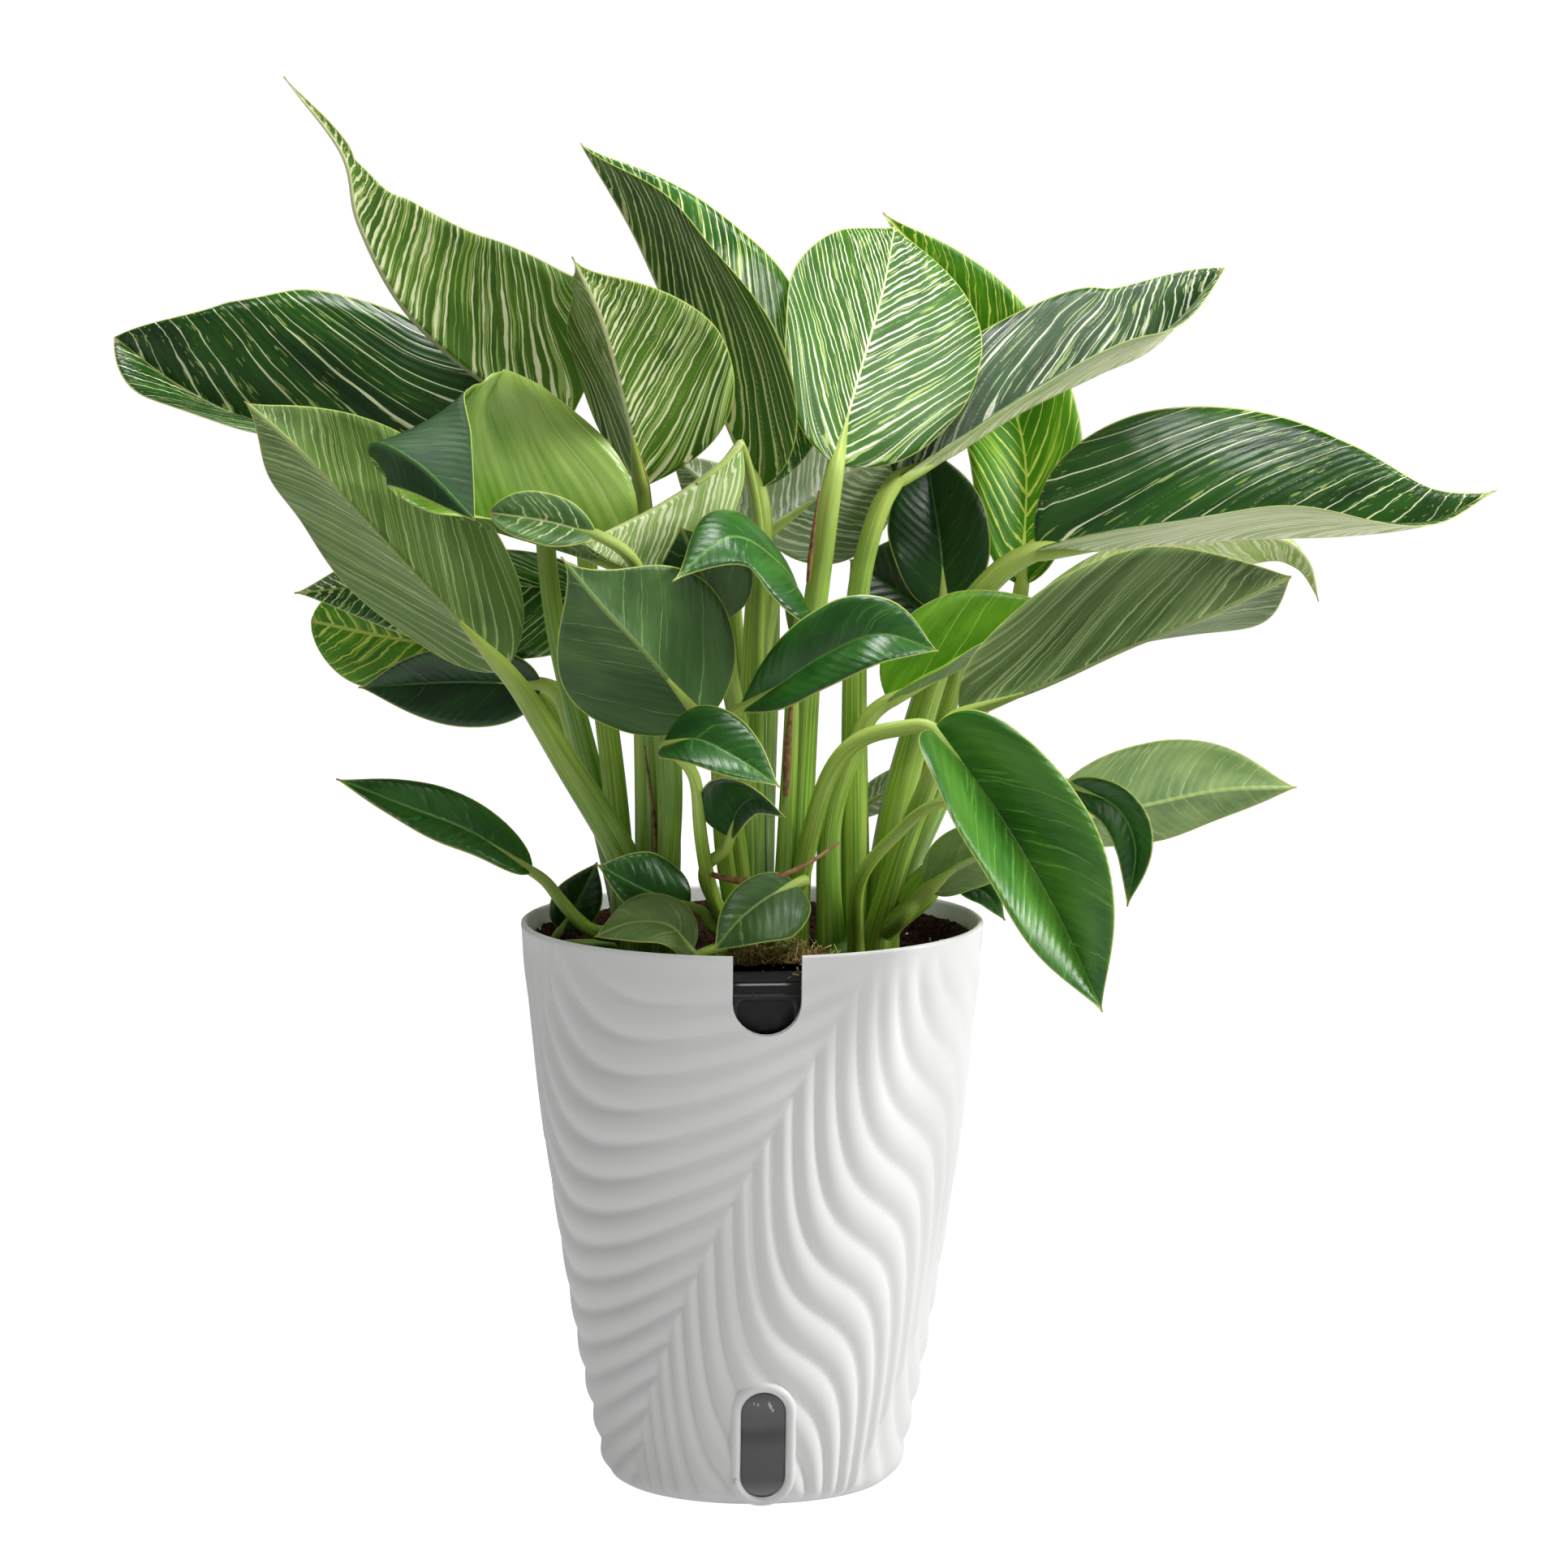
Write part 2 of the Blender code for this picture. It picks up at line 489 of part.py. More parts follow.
def front_prism(name, outline, front, back, group):
    """A prism on an outline of x and z pairs, from y = front to y = back."""
    shape = bpy.data.curves.new(name, "CURVE")
    shape.dimensions = "2D"
    shape.fill_mode = "BOTH"
    shape.extrude = (back - front) / 2
    line = shape.splines.new("POLY")
    line.points.add(len(outline) - 1)
    for point, (x, z) in zip(line.points, outline):
        point.co = (x, z, 0, 1)
    line.use_cyclic_u = True
    made = add_object(name, shape, group)
    made.rotation_euler = (math.radians(90), 0, 0)
    made.location = (0, (front + back) / 2, 0)
    return baked(made)


def pot_radius(height):
    """The outer pot's mean radius in millimetres at a height in millimetres."""
    heights, radii = zip(*POT_PROFILE)
    return float(np.interp(height, heights, radii))


def pot_jacket(name, proud, group):
    """A solid of the pot's mean shape up to mid height, standing proud of it by a distance."""
    heights = [height for height, _ in reversed(POT_PROFILE) if height < 110]
    profile = [(height * MM, pot_radius(height) * MM + proud) for height in heights]
    return turned(name, profile, 96, group)


def ridge_drop(angle):
    """How far a ridge has dropped at an angle past the diagonal: flatter in mid span."""
    slope = POT_HEIGHT / MM / (DIAGONAL_TOP - DIAGONAL_BASE)
    turn = 2 * math.pi / RIDGE_SPAN
    return slope * angle - RIDGE_EASE / 2 * (angle - math.sin(turn * angle) / turn)


def swag_rise(angle):
    """How high a swag's line hangs above its lowest point at an angle past the ridges."""
    share = (angle - RIDGE_SPAN) / (REPEAT - RIDGE_SPAN)
    if share < SWAG_LOWEST:
        return SWAG_START * (1 - share / SWAG_LOWEST) ** 2
    return SWAG_END * ((share - SWAG_LOWEST) / (1 - SWAG_LOWEST)) ** 2


def relief(angle, height):
    """How far the waves stand out at an angle past the diagonal and a height."""
    if angle < RIDGE_SPAN:
        phase = (height - SWAG_END + ridge_drop(angle)) / WAVE_PITCH
        amount = RIDGE_HEIGHT
    else:
        phase = (height - swag_rise(angle)) / WAVE_PITCH
        amount = SWAG_HEIGHT
    top = min((POT_HEIGHT / MM - height) / RELIEF_TOP_FADE, 1)
    base = min(height / RELIEF_BASE_FADE, 1)
    fade = top * top * (3 - 2 * top) * base
    return amount * fade * (abs(math.sin(math.pi * phase)) - 0.5)


def row_height(angle, height):
    """The height of a mesh row at an angle, bent so that rows run along the swags."""
    if angle < RIDGE_SPAN:
        rise = SWAG_END + (SWAG_START - SWAG_END) * angle / RIDGE_SPAN
    else:
        rise = swag_rise(angle)
    room = min(height, POT_HEIGHT / MM - height)
    return height + (rise - ROW_LIFT) * min(1, room / 30)


def pot_body(group):
    """The pot's outside as one solid, its waves raised from a turned shape."""
    pitch = WAVE_PITCH / 2
    rows = [0, ROW_LIFT - pitch] + [ROW_LIFT + pitch * k for k in range(23)] + [POT_HEIGHT / MM]
    angles = [RIDGE_SPAN * k / RIDGE_COLUMNS for k in range(RIDGE_COLUMNS)]
    angles += [RIDGE_SPAN + (REPEAT - RIDGE_SPAN) * k / SWAG_COLUMNS for k in range(SWAG_COLUMNS)]
    steps = 2 * len(angles)
    profile = [(row * MM, pot_radius(row) * MM) for row in reversed(rows)]
    pot = turned("outer_pot", profile, steps, group)
    for vertex in pot.data.vertices:
        x, y, z = vertex.co
        if math.hypot(x, y) < MM:
            continue
        column = round(math.atan2(x, -y) / (2 * math.pi) * steps) % steps
        turn, place = divmod(column, len(angles))
        angle = angles[place]
        height = row_height(angle, z / MM)
        lean = DIAGONAL_BASE + (DIAGONAL_TOP - DIAGONAL_BASE) * height * MM / POT_HEIGHT
        around = math.radians(turn * REPEAT + angle + lean)
        radius = (pot_radius(height) + relief(angle, height)) * MM
        vertex.co = (radius * math.sin(around), -radius * math.cos(around), height * MM)
    return pot


def outer_pot(group, cutters):
    """The pot: waves outside, smooth inside, with a notch, and a window slot in a raised rim."""
    pot = pot_body(group)
    rim = front_prism("window_rim", oval(WINDOW_WIDTH + 2 * WINDOW_RIM, WINDOW_BOTTOM - WINDOW_RIM,
                                         WINDOW_TOP + WINDOW_RIM), -80 * MM, -46 * MM, cutters)
    combine(rim, pot_jacket("jacket", WINDOW_RIM_PROUD, cutters), "INTERSECT")
    combine(pot, rim, "UNION")
    wall = [(POT_HEIGHT + MM, POT_PROFILE[-1][1] * MM - RIM_WALL)]
    wall += [(POT_HEIGHT - 14 * MM, pot_radius(188) * MM - SIDE_WALL)]
    wall += [(height * MM, pot_radius(height) * MM - SIDE_WALL) for height in (165, 100, 41, 17)]
    wall += [(FLOOR, pot_radius(8) * MM - SIDE_WALL)]
    combine(pot, turned("cavity", wall, 48, cutters), "DIFFERENCE")
    above = POT_HEIGHT + 10 * MM
    notch = half_round(NOTCH_WIDTH, NOTCH_BOTTOM + NOTCH_WIDTH / 2, 180)
    notch += [(NOTCH_WIDTH / 2, above), (-NOTCH_WIDTH / 2, above)]
    combine(pot, front_prism("notch", notch, -100 * MM, -60 * MM, cutters), "DIFFERENCE")
    slot = oval(WINDOW_WIDTH, WINDOW_BOTTOM, WINDOW_TOP)
    combine(pot, front_prism("slot", slot, -80 * MM, -42 * MM, cutters), "DIFFERENCE")
    pot.data.materials.append(material("white_plastic", (0.8, 0.8, 0.79), 0.45))
    return pot


def water_window(group, cutters):
    """The clear pane that fills the slot, curved with the pot's wall."""
    outline = oval(WINDOW_WIDTH - 2 * GAP, WINDOW_BOTTOM + GAP, WINDOW_TOP - GAP)
    pane = front_prism("water_window", outline, -80 * MM, -42 * MM, group)
    combine(pane, pot_jacket("pane_front", PANE_PROUD, cutters), "INTERSECT")
    combine(pane, pot_jacket("pane_back", PANE_PROUD - PANE_THICKNESS, cutters), "DIFFERENCE")
    pane.data.materials.append(material("clear_plastic", (0.35, 0.36, 0.36), 0.08, 0.4))
    return pane


def liner_shape(name, inset, top, group, cutters):
    """The inner pot's form made smaller all over by a distance, with its flat front panel."""
    top_radius = float(np.interp(top / MM, *zip(*LINER_PROFILE)))
    profile = [(top, top_radius * MM - inset)]
    profile += [(height * MM + (inset if height * MM < PANEL_FOOT else 0), radius * MM - inset)
                for height, radius in reversed(LINER_PROFILE[:-1])]
    shape = turned(name, profile, 48, group)
    side = PANEL_HALF_WIDTH + inset
    panel = block("panel", (-side, -100 * MM, PANEL_FOOT - inset),
                  (side, inset - PANEL_DISTANCE, POT_HEIGHT + 10 * MM), cutters)
    combine(shape, panel, "DIFFERENCE")
    return shape


def inner_pot(group, cutters):
    """The black pot that stands on its wicking foot inside the outer pot."""
    pot = liner_shape("inner_pot", 0, LINER_TOP, group, cutters)
    combine(pot, liner_shape("hollow", LINER_WALL, LINER_TOP + MM, cutters, cutters), "DIFFERENCE")
    pot.data.materials.append(material("black_plastic", (0.012, 0.012, 0.012), 0.4))
    return pot


def soil(group, cutters):
    """The soil that fills the inner pot, with a plain hole for each crown."""
    earth = liner_shape("soil", LINER_WALL + SOIL_CLEARANCE, SOIL_TOP, group, cutters)
    for x, y, radius in CROWNS.values():
        place = to_part((x, y, 0)).xy
        hole = drum("crown_hole", place, (radius + CROWN_CLEARANCE) * MM,
                    (CROWN_FOOT - CROWN_CLEARANCE) * MM, POT_HEIGHT, 12, cutters)
        combine(earth, hole, "DIFFERENCE")
    earth.data.materials.append(material("dark_soil", (0.03, 0.018, 0.012), 0.95))
    return earth


def moss(group):
    """A tuft of moss beside the notch: a flattened ball with a flat underside."""
    cage = bmesh.new()
    bmesh.ops.create_uvsphere(cage, u_segments=16, v_segments=8, radius=1)
    cut = bmesh.ops.bisect_plane(cage, geom=cage.verts[:] + cage.edges[:] + cage.faces[:],
                                 plane_co=(0, 0, 0.05), plane_no=(0, 0, 1), clear_inner=True)
    rim = [item for item in cut["geom_cut"] if isinstance(item, bmesh.types.BMEdge)]
    bmesh.ops.edgeloop_fill(cage, edges=rim)
    bmesh.ops.recalc_face_normals(cage, faces=cage.faces)
    place = Vector((*MOSS_CENTRE, SOIL_TOP + GAP - 0.05 * MOSS_SIZE[2]))
    cage.transform(Matrix.Translation(place) @ Matrix.Diagonal((*MOSS_SIZE, 1)))
    tuft = add_object("moss", mesh_from(cage, "moss"), group)
    tuft.data.materials.append(material("moss_green", (0.06, 0.09, 0.02), 0.95))
    return tuft


def stalk(leaf, group):
    """One leaf's stalk as a round tube that thins from its foot to its blade."""
    path = stalk_path(leaf)
    foot_radius, end_radius = leaf.get("stalk_radii", STALK_RADII)
    shape = bpy.data.curves.new("stalk", "CURVE")
    shape.dimensions = "3D"
    shape.bevel_depth = MM
    shape.bevel_resolution = 1
    shape.use_fill_caps = True
    line = shape.splines.new("POLY")
    line.points.add(len(path) - 1)
    for point, place, share in zip(line.points, path, np.linspace(0, 1, len(path))):
        point.co = (*to_part(place), 1)
        point.radius = foot_radius + (end_radius - foot_radius) * share
    return baked(add_object("stalk", shape, group))


def crown(name, group, skin):
    """A crown with all the stalks that grow from it, joined in one solid."""
    x, y, radius = CROWNS[name]
    core = drum("crown_" + name, to_part((x, y, 0)).xy, radius * MM,
                CROWN_FOOT * MM, CROWN_TOP * MM, 12, group)
    stalks = collection("stalks_" + name)
    for leaf in LEAVES:
        if leaf["crown"] == name:
            stalk(leaf, stalks)
    union = core.modifiers.new("union", "BOOLEAN")
    union.operation = "UNION"
    union.operand_type = "COLLECTION"
    union.collection = stalks
    union.solver = CROWN_SOLVER
    mesh = evaluated_mesh(core)
    core.modifiers.clear()
    core.data = mesh
    for shape in list(stalks.objects):
        bpy.data.objects.remove(shape)
    bpy.data.collections.remove(stalks)
    core.data.materials.append(skin)
    return core


def blade(leaf, group, skins):
    """A leaf blade: a grid bent to the leaf's form, with a thickness."""
    along, across = (10 if leaf["width"] >= 15 else 6), 1
    rows = leaf_points(leaf, along, across)
    cage = bmesh.new()
    bmesh.ops.create_grid(cage, x_segments=2 * across, y_segments=along, size=0.5)
    for vertex in cage.verts:
        row = round((vertex.co.y + 0.5) * along)
        column = round((vertex.co.x + 0.5) * 2 * across)
        vertex.co = to_part(rows[row, column])
    bmesh.ops.triangulate(cage, faces=cage.faces, quad_method="FIXED")
    sheet = add_object(leaf["name"], mesh_from(cage, leaf["name"]), group)
    thickness = sheet.modifiers.new("thickness", "SOLIDIFY")
    thickness.thickness = BLADE_THICKNESS
    thickness.offset = 0
    sheet.data.materials.append(skins[leaf["look"]])
    return sheet


def main():
    for thing in list(bpy.data.objects):
        bpy.data.objects.remove(thing)
    parts = collection("potted_philodendron")
    cutters = collection("cutters")
    outer_pot(parts, cutters)
    water_window(parts, cutters)
    inner_pot(parts, cutters)
    soil(parts, cutters)
    moss(parts)
    stalk_skin = material("stalk", STALK_GREEN, 0.4)
    for name in CROWNS:
        crown(name, parts, stalk_skin)
    skins = {look: material("leaf_" + look, colour, 0.35) for look, colour in GREENS.items()}
    for leaf in LEAVES:
        blade(leaf, parts, skins)


main()
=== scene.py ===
"""The looks of a striped philodendron in a white self-watering pot, in metres, +Z up.

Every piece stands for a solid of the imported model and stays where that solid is. The pot's
front, with its watering notch and water window, faces -Y. Leaves and stalks are described as
seen in the main view: across and up from the pot's base, and back from its axis, in
millimetres. A blade's midrib, folds and widths are the same as in the solids.
"""
import math

import bmesh
import bpy
import numpy as np
from mathutils import Matrix, Vector


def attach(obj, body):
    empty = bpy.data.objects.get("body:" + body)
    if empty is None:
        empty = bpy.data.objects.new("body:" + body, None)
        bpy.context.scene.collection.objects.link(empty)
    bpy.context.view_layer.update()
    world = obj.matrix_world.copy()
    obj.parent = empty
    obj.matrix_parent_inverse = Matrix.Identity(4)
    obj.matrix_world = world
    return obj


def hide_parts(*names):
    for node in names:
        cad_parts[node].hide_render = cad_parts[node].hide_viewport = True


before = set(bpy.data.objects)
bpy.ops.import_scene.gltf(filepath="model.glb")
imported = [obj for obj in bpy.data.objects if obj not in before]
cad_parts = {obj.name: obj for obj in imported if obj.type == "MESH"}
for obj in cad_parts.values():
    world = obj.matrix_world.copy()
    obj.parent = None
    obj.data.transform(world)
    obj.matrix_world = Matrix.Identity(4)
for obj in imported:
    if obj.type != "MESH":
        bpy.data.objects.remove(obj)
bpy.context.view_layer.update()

MM = 0.001

# Outer pot, with its section as pairs of a height and a radius
POT_HEIGHT = 202.0
POT_PROFILE = ((0, 46.5), (0.5, 48.4), (2.5, 51), (6, 53.2), (17, 55.8), (41, 60.8), (65, 64.8),
               (100, 70.2), (135, 75.0), (171, 78.8), (200.8, 82.4))
BASE_RADII = (0, 20, 40, 46.2)
FOOT_HEIGHTS = (0, 0.25, 0.6, 1.2, 2, 3, 4.2, 5.6, 7)
RIM_EDGE = ((201.6, 82.2), (202, 81.6), (202, 80.9), (201.7, 80.4), (200.8, 80.1))
INSIDE_WALL = ((188, 76.9), (165, 74.5), (100, 66.6), (41, 57.2), (17, 52.2), (5, 50), (3, 48),
               (3, 0))
ROW_STEP = 1.4

# How many columns each turned piece has under its ridges and under its swags
POT_COLUMNS = (185, 50)
LINER_COLUMNS = (40, 32)
SOIL_COLUMNS = (56, 44)

# Wave relief, in two repeats round the pot: steep ridges along a diagonal, then low swags
WAVES = {
    "Pitch": 13.1, "Ridge span": 94.0, "Diagonal top": 28.0, "Diagonal base": -57.0,
    "Ridge ease": 1.751, "Ridge height": 1.9, "Swag height": 1.5, "Swag start": 25.0,
    "Swag end": 22.0, "Swag lowest": 0.45, "Top fade": 20.0, "Base fade": 6.0,
}
REPEAT = 180.0

# Watering notch and water window, and how far forward and back each is cut
NOTCH_WIDTH = 24.0
NOTCH_BOTTOM = 173.5
NOTCH_CUT = (-100, -60)
WINDOW_WIDTH = 16.4
WINDOW_BOTTOM = 3.6
WINDOW_TOP = 44.0
WINDOW_CUT = (-80, -42)
WINDOW_BEAD = 1.9

# The pane: its faces in front of and behind the wall, the shares of its outline that its rings
# have, its greys from bottom to top, and its drops as across, up and half their width. The greys
# are painted light and shade: dark for the dim reservoir behind the pane, a darker band at the
# water's line, and lighter at the bottom, a painted light where the pane curves in
PANE_GAP = 0.3
PANE_FRONT = -0.4
PANE_BACK = 1.6
PANE_RINGS = (0.0, 0.2, 0.4, 0.6, 0.75, 0.88, 0.96, 1.0)
PANE_PAINTED_GREYS = ((0.0, 150), (0.1, 118), (0.18, 88), (0.45, 90), (0.6, 62), (0.68, 92), (0.88, 102),
              (1.0, 58))
DROPS = ((1.9, 39.4, 0.5), (2.4, 38.2, 0.6), (3.1, 37.0, 0.5), (-2.0, 39.0, 0.4), (-3.4, 39.4, 0.3))
DROP_SHAPE = (1, 0.45, 1.5, 1)

# Inner pot, its section as pairs of a height and a radius, with the middle of its wall
LINER_PROFILE = ((3.3, 0), (3.3, 17), (70, 18), (71, 40), (72, 60), (90, 62.5), (186, 74.5),
                 (192.4, 75.6), (192.8, 76.4), (194.4, 76.7), (195, 76.1))
LINER_INSIDE = ((194.6, 75.2), (186, 73.1), (90, 61), (73.4, 58.6), (73.4, 0))
LINER_MIDDLE = ((3, 10), (90, 61.8), (186, 73.8), (195, 75.6))

# The flat panel behind the notch: its distance from the axis, and the heights of its mouldings
PANEL_DISTANCE = 71.0
PANEL_THICKNESS = 1.4
PANEL_FOOT = 100.0
LIP_LEVEL = 191.4
LEDGE = ((190.2, 190.3, 190.9, 191.2), (0, 1.0, 0.65, 0))
BAND_LEVEL = 186.4
HOLLOW_HALF = 7.2
HOLLOW_TOP = 181.9
HOLLOW_CORNER = 2.9

# What fills the inner pot: soil, heaped at its lip, and moss at the notch
SOIL_TOP = 190.0
SOIL_RADIUS = 69.0
SOIL_RINGS = 44
SOIL_PROFILE = ((76, 0), (76, 57), (186, 72), (189.4, 72.6), (190, 71.5))
HEAPED_EDGE = ((190, 72.6), (195.3, 74.5), (195.6, 77), (195, 78.6), (196.6, 77.6), (197.2, 75.5),
               (196.2, 73.2), (194, 71.4), (192, 70.2))
SOIL_GRAINS = {
    "Lump height": 1.6, "Lump size": 9.0, "Grain size": 1.1, "Grains per square metre": 180000.0,
    "Perlite per square metre": 2600.0, "Seed": 4,
}
MOSS_CENTRE = (7, -55)
MOSS_MOUND = (18.6, 10.35, 6.48)
MOSS_STRANDS = {
    "Strand length": 7.5, "Strand width": 0.46, "Strands per square metre": 900000.0, "Seed": 9,
}
# Moss tones, 0 to 1: the darkest, at 0, is the mound beneath the strands, painted shade deep in the moss
MOSS_TONES = ((0.0, (40, 38, 16)), (0.2, (120, 126, 50)), (0.45, (176, 166, 88)),
              (0.62, (150, 108, 62)), (0.8, (198, 160, 104)), (1.0, (232, 210, 156)))

# The view that the plant is described in
VIEW_TILT = math.radians(8)
VIEW_TURN = math.radians(-4)
VIEW_DISTANCE = 2560.0
VIEW_CENTRE = (11.3, 248.2)
CAMERA_PLACE = (-0.1631, -2.4947, 0.602)
CAMERA_LENS = 163.1

# Each crown's place and radius, and how its stalks start
CROWNS = {"left": (-34, 0, 15), "middle": (2, -4, 17), "right": (36, 0, 15)}
STALK_START = 197.0
STALK_TUBES = {"Sides": 16, "Groove": 0.14}

# Which way a blade's upper face looks
TOWARD = (0.0, -1.0, 0.0)
AWAY = (0.0, 1.0, 0.0)
UPWARD = (0.0, -0.5, 1.0)
STEEP = (0.0, -0.8, 0.6)
RISING = (0.0, -0.7, 0.7)


def new_leaf(name, look, crown, width, rib, stalk, **form):
    """A leaf's facts, with the usual value for each one that isn't given."""
    usual = dict(facing=TOWARD, right=15, left=15, right_share=1, left_share=1, start=0.4, peak=0.38,
                 point=1.3, base=0.55, tail=(1, 0), stalk_radii=(5, 3), approach=7.0)
    return {**usual, **form, "name": "leaf_" + name, "look": look, "crown": crown, "width": width,
            "rib": rib, "stalk": stalk}


